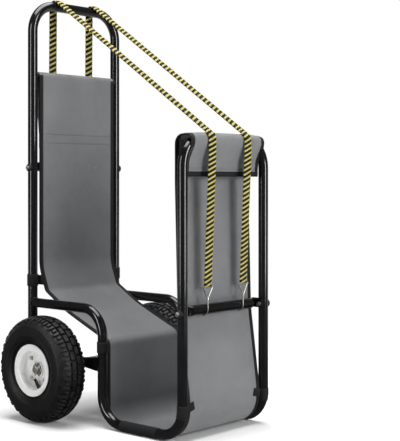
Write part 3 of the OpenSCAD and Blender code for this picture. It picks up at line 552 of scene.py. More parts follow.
def bumped(tree, bsdf, height, distance, strength=1.0, under=None):
    """Adds a bump of a real depth; under is a bump that lies below it."""
    inputs = {"Height": height, "Distance": distance, "Strength": strength}
    if under is not None:
        inputs["Normal"] = under
    normal = add(tree, "ShaderNodeBump", inputs).outputs[0]
    feed(tree, bsdf, Normal=normal)
    return normal


def object_place(tree):
    """The row's own coordinates, which all pieces share."""
    return add(tree, "ShaderNodeTexCoord").outputs["Object"]


def object_noise(tree, size, detail=2.0, roughness=0.5, at=None):
    """Noise on those coordinates; size is the real width of one grain, in metres."""
    place = object_place(tree) if at is None else at
    inputs = {"Vector": place, "Scale": 1 / size, "Detail": detail, "Roughness": roughness}
    return add(tree, "ShaderNodeTexNoise", inputs).outputs[0]


def separate(tree, vector):
    return add(tree, "ShaderNodeSeparateXYZ", {0: vector}).outputs


def uv_metres(tree):
    """The piece's own UV, in metres round it and along it."""
    return separate(tree, add(tree, "ShaderNodeUVMap", uv_map="UVMap").outputs[0])[:2]


def wave(tree, value, spacing):
    """A smooth 0 to 1 wave with that spacing in metres."""
    turn = times(tree, value, 2 * math.pi / spacing)
    return ranged(tree, maths(tree, "SINE", turn), -1, 1, 0, 1)


def speckled(name, grain, dark, light, peel, **shader):
    """Two tones in small clouds; peel is the bump's grain size, detail, depth and strength."""
    material, tree, bsdf = new_material(name, **shader)
    feed(tree, bsdf, Base_Color=mixed(tree, object_noise(tree, grain, 3), linear(dark), linear(light)))
    size, detail, depth, strength = peel
    bumped(tree, bsdf, object_noise(tree, size, detail), depth, strength)
    return material


def powder_coat():
    """Gloss black polyester powder on steel: deep black, crisp highlights, a faint orange peel."""
    material, tree, bsdf = new_material("Gloss_Black_Powder_Coat", Roughness=0.18, IOR=1.5)
    cloud = ranged(tree, object_noise(tree, 0.06, 4), 0.3, 0.7, 0, 1)
    rough = ranged(tree, object_noise(tree, 0.05, 2), 0.3, 0.7, 0.12, 0.16)
    colour = mixed(tree, cloud, linear("#0a0a0b"), linear("#111113"))
    feed(tree, bsdf, Base_Color=colour, Roughness=rough)
    bumped(tree, bsdf, object_noise(tree, 0.005, 1), 0.000004, 0.4)
    return material


def zinc_plate():
    """Bright zinc plate on turned steel: pale silver with a cloudy, faintly warm bloom."""
    material, tree, bsdf = new_material("Bright_Zinc_Plate", Metallic=1.0, Roughness=0.3)
    bloom = object_noise(tree, 0.004, 4)
    colour = mixed(tree, ranged(tree, bloom, 0.35, 0.65, 0, 1), linear("#e2ded4"), linear("#c2bfb6"))
    feed(tree, bsdf, Base_Color=colour, Roughness=ranged(tree, bloom, 0.3, 0.7, 0.24, 0.42))
    bumped(tree, bsdf, object_noise(tree, 0.0012, 2), 0.00004, 0.5)
    return material


def bearing_steel():
    """Ground bearing steel: neutral metal, with the fine grain that grinding leaves."""
    peel = (0.0007, 1, 0.00003, 0.4)
    return speckled(
        "Ground_Bearing_Steel", 0.003, "#8d8f92", "#b4b6b8", peel, Metallic=1.0, Roughness=0.28
    )


def stove_enamel():
    """Off-white baked enamel on pressed steel: clean and glossy, with thin clouds of dust."""
    material, tree, bsdf = new_material("White_Baked_Enamel", Roughness=0.28, IOR=1.5)
    dust = ranged(tree, object_noise(tree, 0.03, 4), 0.42, 0.7, 0, 1)
    colour = mixed(tree, dust, linear("#e6e6e5"), linear("#d4d4d2"))
    feed(tree, bsdf, Base_Color=colour, Roughness=ranged(tree, dust, 0, 1, 0.24, 0.4))
    bumped(tree, bsdf, object_noise(tree, 0.003, 1), 0.00006, 0.4)
    return material


def moulded_plastic():
    """Injection moulded polypropylene: dull black with a fine spark-eroded grain."""
    peel = (0.0009, 1, 0.00006, 0.6)
    return speckled(
        "Moulded_Black_Polypropylene", 0.01, "#0e0e0f", "#1a1a1b", peel, Roughness=0.45, IOR=1.49
    )


def butyl_rubber():
    """Smooth black butyl rubber of a valve and air tube, with a soft highlight."""
    peel = (0.0015, 2, 0.00005, 0.5)
    return speckled("Black_Butyl_Rubber", 0.006, "#0c0c0c", "#171717", peel, Roughness=0.5, IOR=1.52)


def tyre_rubber(name, hub):
    """Moulded tyre rubber: matt carbon black, dusty lugs, fine lathe rings on the sidewall."""
    material, tree, bsdf = new_material(name, Roughness=0.62, IOR=1.52, Specular_IOR_Level=0.3)
    at = object_place(tree)
    local = add(tree, "ShaderNodeVectorMath", {0: at, 1: hub}, operation="SUBTRACT").outputs[0]
    radius = from_axis(tree, *separate(tree, local)[1:])
    rings = times(tree, wave(tree, radius, 0.0036), maths(tree, "LESS_THAN", radius, 0.112))
    dust = ranged(tree, object_noise(tree, 0.012, 5, 0.6, at), 0.4, 0.75, 0, 1)
    worn = times(tree, dust, ranged(tree, radius, 0.108, 0.127, 0.1, 1))
    colour = mixed(tree, worn, linear("#060607"), linear("#222223"))
    feed(tree, bsdf, Base_Color=colour, Roughness=ranged(tree, dust, 0, 1, 0.46, 0.7))
    low = bumped(tree, bsdf, rings, 0.0004, 0.35)
    bumped(tree, bsdf, object_noise(tree, 0.0014, 3, 0.6, at), 0.0002, 0.5, low)
    return material


def woven_cloth():
    """Plain-woven grey polyester, coated behind: thread grid, slubs, a soft sheen.

    Real threads lie about 0.5 mm apart; they are drawn 1.3 mm apart so that they show.
    """
    cloth, pitch = sling().cloth, 0.0013
    material, tree, bsdf = new_material(
        "Grey_Woven_Polyester", Roughness=0.72, IOR=1.46, Sheen_Weight=0.25, Sheen_Roughness=0.4
    )
    u, v = uv_metres(tree)
    column, row = (maths(tree, "FLOOR", times(tree, way, 2 / pitch)) for way in (u, v))
    over = maths(tree, "PINGPONG", plus(tree, column, row), 1.0)
    threads = blended(tree, over, wave(tree, u, pitch), wave(tree, v, pitch))
    slub, cloud = object_noise(tree, 0.02, 5, 0.62), object_noise(tree, 0.12, 3)
    tone = mixed(tree, ranged(tree, slub, 0.3, 0.7, 0, 1), shade(cloth, 0.8), shade(cloth))
    tone = mixed(tree, ranged(tree, cloud, 0.35, 0.7, 0, 0.7), tone, shade(cloth, 1.16))
    # Painted shade: the cloth darkens where the threads dip under one another, in step with their bump.
    tone = mixed(tree, ranged(tree, threads, 0, 1, 0.28, 0), tone, shade(cloth, 0.45))
    feed(tree, bsdf, Base_Color=tone, Roughness=ranged(tree, slub, 0.3, 0.7, 0.66, 0.82))
    low = bumped(tree, bsdf, cloud, 0.004, 0.25)
    bumped(tree, bsdf, threads, 0.00025, 0.55, low)
    return material


def webbing():
    """Black polypropylene tape: close cross ribs, a sewn line along it, dull sheen.

    Ribs are about 1.2 mm apart, drawn at 1.6 mm.
    """
    tape = sling().tape
    material, tree, bsdf = new_material(
        "Black_Polypropylene_Tape", Roughness=0.8, IOR=1.49, Sheen_Weight=0.02, Specular_IOR_Level=0.3
    )
    u, v = uv_metres(tree)
    ribs = wave(tree, v, 0.0016)
    beside = maths(tree, "ABSOLUTE", maths(tree, "SUBTRACT", u, 0.0022))
    stitched = maths(tree, "GREATER_THAN", wave(tree, v, 0.0044), 0.28)
    sewn = times(tree, maths(tree, "LESS_THAN", beside, 0.0005), stitched)
    fibres = object_noise(tree, 0.0015, 4, 0.6)
    tone = mixed(tree, ranged(tree, fibres, 0.3, 0.7, 0, 1), shade(tape), shade(tape, 1.8, 0.002))
    # Painted shade: the tape darkens in the grooves between the ribs, in step with their bump.
    tone = mixed(tree, ranged(tree, ribs, 0, 1, 0.45, 0), tone, shade(tape, 0.4))
    feed(tree, bsdf, Base_Color=mixed(tree, times(tree, sewn, 0.7), tone, linear("#3a3a3c")))
    low = bumped(tree, bsdf, plus(tree, ribs, times(tree, sewn, 1.4)), 0.0003, 0.6)
    bumped(tree, bsdf, fibres, 0.0002, 0.5, low)
    return material


def sewing_thread():
    """Bonded polyester thread: fine twist, slightly lighter than the cloth it sinks into."""
    thread = sling().thread
    material, tree, bsdf = new_material("Grey_Sewing_Thread", Roughness=0.6, IOR=1.46)
    twist = wave(tree, plus(tree, *uv_metres(tree)), 0.0009)
    # Painted shade and highlight: the thread is darker in the grooves of its twist and lighter on its
    # ridges.
    feed(tree, bsdf, Base_Color=mixed(tree, twist, shade(thread, 0.6), shade(thread, 1.25)))
    bumped(tree, bsdf, twist, 0.0001, 0.5)
    return material


def striped_elastic():
    """Tubular woven elastic: olive-yellow and black yarns in raised diagonal stripes."""
    look = strap()
    material, tree, bsdf = new_material(
        "Striped_Woven_Elastic", Roughness=0.85, IOR=1.47, Sheen_Weight=0.02, Specular_IOR_Level=0.25
    )
    u, v = uv_metres(tree)
    slanted = plus(tree, v, times(tree, u, strap_slant()))
    stripe = wave(tree, slanted, look.stripe)
    yarn = wave(tree, maths(tree, "SUBTRACT", slanted, times(tree, u, 2.2)), 0.0021)
    fuzz = object_noise(tree, 0.0013, 4, 0.65)
    edge = ranged(tree, plus(tree, stripe, times(tree, fuzz, 0.16)), 0.6, 0.76, 0, 1)
    # Painted highlight: the yellow turns paler along the crest of each raised stripe.
    crest_highlight = shade(look.yellow, 1.35, 0.02)
    yellow_with_crest_highlight = mixed(tree, ranged(tree, stripe, 0.7, 1, 0, 0.8), shade(look.yellow), crest_highlight)
    tone = mixed(tree, edge, shade(look.black), yellow_with_crest_highlight)
    # Painted shade: the colour goes towards black in the gaps between the yarns, where their bump is low.
    painted_gap_shade = ranged(tree, times(tree, yarn, wave(tree, u, 0.0017)), 0, 0.6, 0.45, 0)
    feed(tree, bsdf, Base_Color=mixed(tree, painted_gap_shade, tone, shade(look.black)))
    low = bumped(tree, bsdf, stripe, 0.0004, 0.6)
    bumped(tree, bsdf, plus(tree, yarn, times(tree, fuzz, 0.6)), 0.0003, 0.6, low)
    return material


def facing_away(tree, vector):
    """How far a place or a direction lies away from the camera."""
    node = add(tree, "ShaderNodeVectorMath", {0: vector, 1: AWAY}, operation="DOT_PRODUCT")
    return node.outputs["Value"]


def studio_floor():
    """Pale seamless paper: it keeps the cart's shadow and runs out to a white background.

    For glossy rays the paper glows instead of showing its lit colour, a painted reflection: white paper
    behind the cart and dim on the camera's side.
    """
    backdrop = shade(bpy.context.scene.log_cart_stage.backdrop)
    material, tree, bsdf = new_material("White_Seamless_Paper", Roughness=0.9, Base_Color=backdrop)
    place = object_place(tree)
    far = ranged(tree, from_axis(tree, *separate(tree, place)[:2]), 0.5, 1.7, 0, 1, "SMOOTHSTEP")
    path = add(tree, "ShaderNodeLightPath").outputs
    glossy = path["Is Glossy Ray"]
    seen = maths(tree, "ADD", plus(tree, path["Is Camera Ray"], glossy), path["Is Transmission Ray"], True)
    # Painted reflection: to glossy rays the paper glows, at 1 away from the camera and 0.12 on its side,
    # instead of showing how the lamps light it.
    white = blended(tree, glossy, 1.0, ranged(tree, facing_away(tree, place), 0.2, 1.2, 0.12, 1.0))
    glow = add(tree, "ShaderNodeEmission", {"Color": (1, 1, 1, 1), "Strength": white}).outputs[0]
    share = maths(tree, "MAXIMUM", times(tree, far, seen), glossy)
    both = add(tree, "ShaderNodeMixShader", {0: share, 1: bsdf.outputs[0], 2: glow}).outputs[0]
    out = next(n for n in tree.nodes if n.type == "OUTPUT_MATERIAL")
    tree.links.new(both, out.inputs[0])
    return material


MAKERS = {
    "frame_paint": powder_coat,
    "zinc_plate": zinc_plate,
    "bearing_steel": bearing_steel,
    "rim_paint": stove_enamel,
    "black_plastic": moulded_plastic,
    "tube_rubber": butyl_rubber,
    "grey_cloth": woven_cloth,
    "black_webbing": webbing,
    "striped_elastic": striped_elastic,
    "thread": sewing_thread,
}
finishes = {}


def finish_of(slot):
    """The finish for a material slot, made once."""
    if slot not in finishes:
        finishes[slot] = MAKERS[slot]()
    return finishes[slot]


# --- Routes of the cloth and the straps ---


def sling_route():
    """The one length of cloth: sewn tail, rear sleeve, panel, slope, riser, floor, front, flap."""
    f, c = sizes(), sling()
    bar, hoop = Vector((0, c.bar_z)), Vector((f.front_s, f.hoop_z))
    knee = Vector((9 * MM, f.rail_z + 90 * MM))
    off_bar = touch(knee, bar, c.sleeve_r, 1)
    top = bar + c.sleeve_r * Vector((math.cos(math.radians(off_bar)), math.sin(math.radians(off_bar))))
    down = (knee - top).normalized()
    lap = Vector((c.cloth_t - 0.4 * MM, 0))

    def on_panel(z):
        return top + down * (z - top.y) / down.y

    seam, tail = on_panel(c.seam_z) - lap, on_panel(c.seam_z - c.seam_tail) - lap
    behind = 360 + touch(seam, bar, c.sleeve_r, -1)
    lag = 1.5 * MM
    riser, front = f.step_s - 1 * MM, f.front_s
    # Corners as (forward, up, bend radius): back panel, slope, riser, floor, front panel, hoop.
    main = rounded([
        (top.x, top.y, 0),
        (knee.x, knee.y, 0.120),
        (0.032, f.rail_z + 0.030, 0.014),
        (0.112, f.rail_z - 0.0165, 0.250),
        (0.178, f.rail_z - 0.044, 0.250),
        (riser, f.rail_z - 0.0765, 0.018),
        (riser, c.floor_z, 0.045),
        (front - lag, c.floor_z, 0.068),
        (front - lag, 0.095, 0.150),
        (front - 0.0275, f.front_bolt_z + f.bar_rise - f.bar_r, 0.300),
        (front - 0.036, c.flap_z - c.binding_w, 0.400),
        (front - 0.036, f.hoop_z + c.hoop_wrap_r, 0.021),
        (front, f.hoop_z + c.hoop_wrap_r, 0),
    ])
    over = arc(hoop, c.hoop_wrap_r, 90, 0)
    sleeve = arc(bar, c.sleeve_r, behind, off_bar)
    flap = rounded([
        (front + c.hoop_wrap_r, f.hoop_z, 0),
        (front + c.hoop_wrap_r - c.flap_lean, f.hoop_z - 12 * MM, 0.030),
        (front - c.flap_behind + 3 * c.flap_lean, c.flap_bend_z, 0.035),
        (front - c.flap_behind, c.flap_z, 0),
    ])
    return [tail, seam] + sleeve + main + over + flap


def crowned(width, thick):
    """Section of a flat woven tube: nearly parallel faces with full round edges."""
    out = []
    for a in round_turns(40)[:-1]:
        x = -math.copysign(abs(math.cos(a)) ** 0.55, math.cos(a)) * width / 2
        y = math.copysign(abs(math.sin(a)) ** 0.75, math.sin(a)) * thick / 2
        out.append((x, y))
    return out


def strap_slant():
    """Slope of the stripes, at which a whole number of them closes round the strap."""
    s = strap()
    section = crowned(s.width, s.thick)
    girth = sum(math.dist(a, b) for a, b in zip(section, section[1:] + section[:1]))
    return s.turns * s.stripe / girth


def strap_route():
    """A strap from its rear eye, over the handle and the front hoop, to its front eye."""
    f, s = sizes(), strap()
    handle, hoop = Vector((0, f.handle_z)), Vector((f.front_s, f.hoop_z))
    reach = f.bar_r + s.wire_gap + s.wire_r
    rear = Vector((-f.rear_bar_back - reach, f.rear_bolt_z + f.bar_rise + s.eye_rise))
    front = Vector((f.front_s - f.front_bar_back + reach, f.front_bolt_z + f.bar_rise + s.eye_rise))
    across = hoop - handle
    slack = math.acos((s.handle_wrap_r - s.hoop_wrap_r) / across.length)
    lean = math.degrees(math.atan2(across.y, across.x) + slack)
    return (
        [rear]
        + arc(handle, s.handle_wrap_r, 360 + touch(rear, handle, s.handle_wrap_r, -1), lean)
        + arc(hoop, s.hoop_wrap_r, lean, 0)
        + rounded([
            (f.front_s + s.hoop_wrap_r, f.hoop_z, 0),
            (f.front_s + s.hoop_wrap_r, s.turn_z, 0.150),
            (front.x, front.y, 0),
        ])
    )


# --- Operators, one for each piece or group ---


class LOGCART_OT_finishes(bpy.types.Operator):
    """Gives every CAD node its real finish"""

    bl_idname = "logcart.finishes"
    bl_label = "Finish the CAD nodes"

    def execute(self, context):
        f = sizes()
        for entry in frame["record"]["subparts"]:
            node, slot = entry["node"], entry["material_slot"]
            if slot == "tyre_rubber":
                low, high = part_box(node)
                key = "tyre_" + ("left" if low.x < 0 else "right")
                if key not in finishes:
                    hub = ((low.x + high.x) / 2, f.middle - f.axle_s, f.axle_z)
                    finishes[key] = tyre_rubber("Moulded_Tyre_Rubber_" + key[5:].title(), hub)
                material = finishes[key]
            else:
                material = finish_of(slot)
            mesh = frame["nodes"][node].data
            mesh.materials.clear()
            mesh.materials.append(material)
        return {"FINISHED"}


class LOGCART_OT_sling(bpy.types.Operator):
    """Hangs the grey cloth sling, with its folds, seams, edge tape and hem"""

    bl_idname = "logcart.sling"
    bl_label = "Hang the sling"

    def execute(self, context):
        c = sling()
        route = sling_route()
        total = sum((b - a).length for a, b in zip(route, route[1:]))
        # The route passes a height more than once, so each search starts where its part does.
        low = c.seam_z - c.seam_gap
        behind = [length_at(route, z) for z in (c.seam_z - 1 * MM, low)]
        panel = [length_at(route, z, 0.25) for z in (c.seam_z, low)]
        hem = [length_at(route, c.flap_z + c.hem_seam + z, total - 0.09) for z in (0, 4 * MM)]
        seams = behind + panel + hem
        frames = side_frames(route, c.station, seams)
        half = c.half_w - c.tape_t
        across = [half * (2 * k / c.columns - 1) for k in range(c.columns + 1)]
        section = [(x, c.cloth_t / 2) for x in across] + [(x, -c.cloth_t / 2) for x in reversed(across)]
        bm = bmesh.new()
        sweep(bm, frames, section)
        self.hang(bm, frames, total, seams)
        piece = finished(bm, "cloth_sling", "grey_cloth", replaces=["sling"])
        self.tape(frames, total)
        thread = bmesh.new()
        for gone in seams:
            self.sew(thread, frames, gone, total, seams)
        finished(thread, "sling_thread", "grey_cloth", material=finish_of("thread"))
        return {"FINISHED"}

    def hang(self, bm, frames, total, seams):
        """Moves every row of the smooth sling to where the folds and seams take it."""
        along = bm.verts.layers.float["along"]
        gones = [gone for _, gone in frames]
        for v in bm.verts:
            # The layer holds a rounded length, so the row is looked up from just below it.
            m = frames[bisect_left(gones, v[along] - 0.1 * MM)][0]
            off = m.col[1].xyz
            face = math.copysign(1, (v.co - m.translation).dot(off))
            stand = self.fold(v.co.x, m.translation, v[along], total, seams)
            v.co += off * (stand - face * self.groove(v[along], seams))
            v.co.z -= self.drop(v.co.x, v[along], total)

    def groove(self, gone, seams):
        """How deep the stitching pulls either face in."""
        return 0.6 * MM * sum(math.exp(-(((gone - g) / (1.6 * MM)) ** 2)) for g in seams)

    def drop(self, x, gone, total):
        """How far the cloth hangs down past the straight part of the front hoop."""
        f, c = sizes(), sling()
        straight = f.half_span - f.rail_bend_r
        past = max(0.0, abs(x) - straight) / (c.half_w - straight)
        # It sets in below the top of the front panel, and is gone before the flap's end.
        over = smooth(total - 0.3, total - 0.15, gone) * smooth(total - 0.04, total - 0.10, gone)
        return c.droop * past * past * over

    def fold(self, x, place, gone, total, seams):
        """How far the cloth stands off its smooth route here."""
        f, c = sizes(), sling()
        # The folds die out at the tape, at the bar, at the hoop and on the flap.
        edge = smooth(c.half_w - 0.012, c.half_w - 0.055, abs(x))
        bar = smooth(0.02, 0.10, (place - Vector((0, f.middle, c.bar_z))).length)
        hoop = smooth(0.03, 0.10, (place - Vector((0, f.middle - f.front_s, f.hoop_z))).length)
        loose = smooth(total - 0.14, total - 0.16, gone)
        wide = noise.noise(Vector((x * 5, place.y * 4, place.z * 4)))
        fine = noise.noise(Vector((x * 22, place.y * 9 + 7, place.z * 9)))
        near = min(abs(gone - g) for g in seams)
        pucker = 0.5 * MM * math.exp(-((near / 0.013) ** 2)) * noise.noise(Vector((x * 75, gone * 40, 2.2)))
        # Soft cross folds where the back panel turns on to the slope.
        foot = math.exp(-(((place.z - f.rail_z - 0.045) / 0.04) ** 2)) * (place.y > f.middle - 0.12)
        soft = noise.noise(Vector((x * 11, place.z * 34, 5.0)))
        waves = wide + 0.28 * fine + 1.1 * foot * soft
        return edge * (c.wrinkle * bar * hoop * loose * waves + pucker)

    def tape(self, frames, total):
        """Black tape folded over the long edges and over the flap's hem."""
        c = sling()
        half, wall, lip = c.cloth_t / 2 + c.tape_t, 0.5 * MM, c.binding_w
        # Corners of the folded tape: (inwards from the cloth's edge, off its middle plane).
        profile = [
            (lip, half), (0.9 * MM, half), (0.25 * MM, half * 0.7), (0, 0), (0.25 * MM, -half * 0.7),
            (0.9 * MM, -half), (lip, -half), (lip, wall - half), (0.7 * MM, wall - half),
            (0.7 * MM, half - wall), (lip, half - wall),
        ]
        # The tape starts at the top of the sleeve, on the panel's side of the bar.
        top = c.bar_z + 6 * MM
        start = next(i for i, (m, _) in enumerate(frames) if m.col[1].y < -0.7 and m.translation.z < top)
        bm = bmesh.new()
        for side in (-1, 1):
            sweep(bm, frames[start:], [(side * (c.half_w - x), y) for x, y in profile])
        along = bm.verts.layers.float["along"]
        for v in bm.verts:
            v.co.z -= self.drop(v.co.x, v[along], total)
        end = frames[-1][0]
        up = -end.col[2].xyz
        if up.z < 0:
            up = -up
        hem = []
        for k in range(61):
            x = (k / 30 - 1) * c.half_w
            low = end.translation + Vector((x, 0, -self.drop(x, total, total))) - up * c.tape_t
            hem.append((frame_at(low, up, up.cross(Vector((1, 0, 0)))), x))
        sweep(bm, hem, profile)
        finished(bm, "sling_tape", "black_webbing", replaces=["sling_binding"])

    def sew(self, bm, frames, gone, total, seams):
        """One row of stitches from tape to tape."""
        c = sling()
        m, gone = min(frames, key=lambda row: abs(row[1] - gone))
        off = m.col[1].xyz

        def on_cloth(x, lift):
            stand = self.fold(x, m.translation, gone, total, seams)
            stand += c.cloth_t / 2 - self.groove(gone, seams) + lift
            return m.translation + Vector((x, 0, -self.drop(x, gone, total))) + off * stand

        half = c.half_w - c.binding_w
        count = round(2 * half / c.stitch)
        for k in range(count):
            middle = -half + (k + 0.5) * 2 * half / count
            line = [
                on_cloth(middle + c.stitch * t, lift * MM)
                for t, lift in ((-0.4, -0.5), (-0.25, 0.25), (0.25, 0.25), (0.4, -0.5))
            ]
            sweep(bm, path_frames(line), round_section(c.thread_r, 6))


class LOGCART_OT_straps(bpy.types.Operator):
    """Weaves the two striped elastic straps, folded and sewn at their ends"""

    bl_idname = "logcart.straps"
    bl_label = "Weave the straps"

    def execute(self, context):
        s = strap()
        frames = self.wound(side_frames(strap_route(), s.station))
        section = crowned(s.width, s.thick)
        slant = strap_slant()
        for side, name in ((-1, "left"), (1, "right")):
            bm = bmesh.new()
            x = side * s.pitch / 2
            moved = [(Matrix.Translation((x, 0, 0)) @ m, gone) for m, gone in frames]
            sweep(bm, moved, section)
            along, around = bm.verts.layers.float["along"], bm.verts.layers.float["around"]
            bmesh.ops.recalc_face_normals(bm, faces=bm.faces)
            bm.normal_update()
            for v in bm.verts:
                stripe = math.sin((v[along] + v[around] * slant) * 2 * math.pi / s.stripe)
                v.co += v.normal * s.relief * stripe
            finished(bm, "striped_strap_" + name, "striped_elastic", replaces=["elastic_strap_" + name])
        self.bar_tacks(frames)
        return {"FINISHED"}

    def wound(self, frames):
        """The frames with the running length of the relaxed elastic: the free span is stretched most."""
        f, s = sizes(), strap()
        out, relaxed, last = [], 0.0, 0.0
        for m, gone in frames:
            ahead = f.middle - m.translation.y
            period = s.stripe
            if ahead > 0.03:
                period = s.span_stripe if ahead < f.front_s - 0.01 else s.front_stripe
            relaxed += (gone - last) * s.stripe / period
            last = gone
            out.append((self.end_shape(m, gone, frames[-1][1]), relaxed))
        return out

    def end_shape(self, m, gone, total):
        """Either end is folded over the hook's wire and sewn down, so it is thicker there."""
        rest = min(gone, total - gone)
        thick = 1 + 0.28 * smooth(24 * MM, 20 * MM, rest)
        nose = math.sqrt(max(0.05, 1 - max(0.0, 1 - rest / (3 * MM)) ** 2))
        return m @ Matrix.Diagonal((1, thick * nose, 1, 1))

    def bar_tacks(self, frames):
        """Two rows of black thread across each end of each strap."""
        s = strap()
        bm = bmesh.new()
        total = len(frames) - 1
        for side in (-1, 1):
            for index in (3, 6, total - 3, total - 6):
                m = frames[index][0]
                for face in (-1, 1):
                    for k in range(-3, 4):
                        x = side * s.pitch / 2 + k * 3 * MM
                        line = [
                            m @ Vector((x + dx * MM, face * (s.thick / 2 + dy * MM), 0))
                            for dx, dy in ((-1.2, -0.2), (-0.6, 0.5), (0.6, 0.5), (1.2, -0.2))
                        ]
                        sweep(bm, path_frames(line), round_section(s.tack_r, 6))
        finished(bm, "strap_thread", "striped_elastic", material=finish_of("thread"))


class LOGCART_OT_welds(bpy.types.Operator):
    """Lays a rippled weld bead wherever one tube of the frame butts on another"""

    bl_idname = "logcart.welds"
    bl_label = "Weld the frame"

    def execute(self, context):
        f, c = sizes(), sling()
        bm = bmesh.new()
        big = f.post_r + f.weld_gap
        for side in (-1, 1):
            x = side * f.half_span
            for z in (f.rail_z, f.brace_z):
                self.saddle(bm, Vector((x, f.middle, z)), Vector((0, -1, 0)), f.rail_r, big)
            self.saddle(bm, Vector((x, f.middle, c.bar_z)), Vector((-side, 0, 0)), f.sling_bar_r, big)
            self.flat_end(bm, x)
            self.axle_joint(bm, x)
        finished(bm, "frame_welds", "frame_paint")
        return {"FINISHED"}

    def saddle(self, bm, centre, along, small, big):
        """Bead round a level tube of radius small that butts on an upright one of radius big."""
        up = Vector((0, 0, 1))
        aside = along.cross(up)
        points = []
        for a in round_turns(48):
            reach = math.sqrt(big**2 - (small * math.sin(a)) ** 2)
            # The big tube is upright, so only the sideways part bends the seam.
            points.append(centre + along * reach + up * small * math.cos(a) + aside * small * math.sin(a))
        self.bead(bm, points)

    def flat_end(self, bm, x):
        """Bead round the flattened front end of a lower brace."""
        f = sizes()
        reach = f.step_s - math.sqrt((f.rail_r + f.weld_gap) ** 2 - f.flat_t**2)
        points = [
            world(Vector((reach, f.brace_z + v * f.flat_h)), x + u * f.flat_t)
            for u, v in ((1, 0), (1, 1), (-1, 1), (-1, -1), (1, -1), (1, 0))
        ]
        self.bead(bm, softened(points, 2 * MM))

    def axle_joint(self, bm, x):
        """Bead where the axle tube passes under a lower brace."""
        f = sizes()
        tube = f.axle_tube_r
        half = math.sqrt(f.rail_r**2 - (f.brace_z - f.axle_z - tube) ** 2)
        points = []
        for a in round_turns(32):
            dx = half * math.cos(a)
            z = f.brace_z - math.sqrt(f.rail_r**2 - dx**2)
            ds = math.copysign(math.sqrt(max(0.0, tube**2 - (z - f.axle_z) ** 2)), math.sin(a))
            points.append(world(Vector((f.axle_s + ds, z)), x + dx))
        self.bead(bm, points)

    def bead(self, bm, points):
        """One closed bead, with the ripples of a hand-fed weld."""
        f = sizes()
        rippled = []
        for m, gone in path_frames(points[:-1] + [points[0]]):
            swell = 1 + 0.16 * math.sin(gone * 2 * math.pi / f.ripple)
            rippled.append((m @ Matrix.Scale(swell, 4), gone))
        rippled[-1] = rippled[0]
        sweep(bm, rippled, round_section(f.weld_r, 8), caps=False)


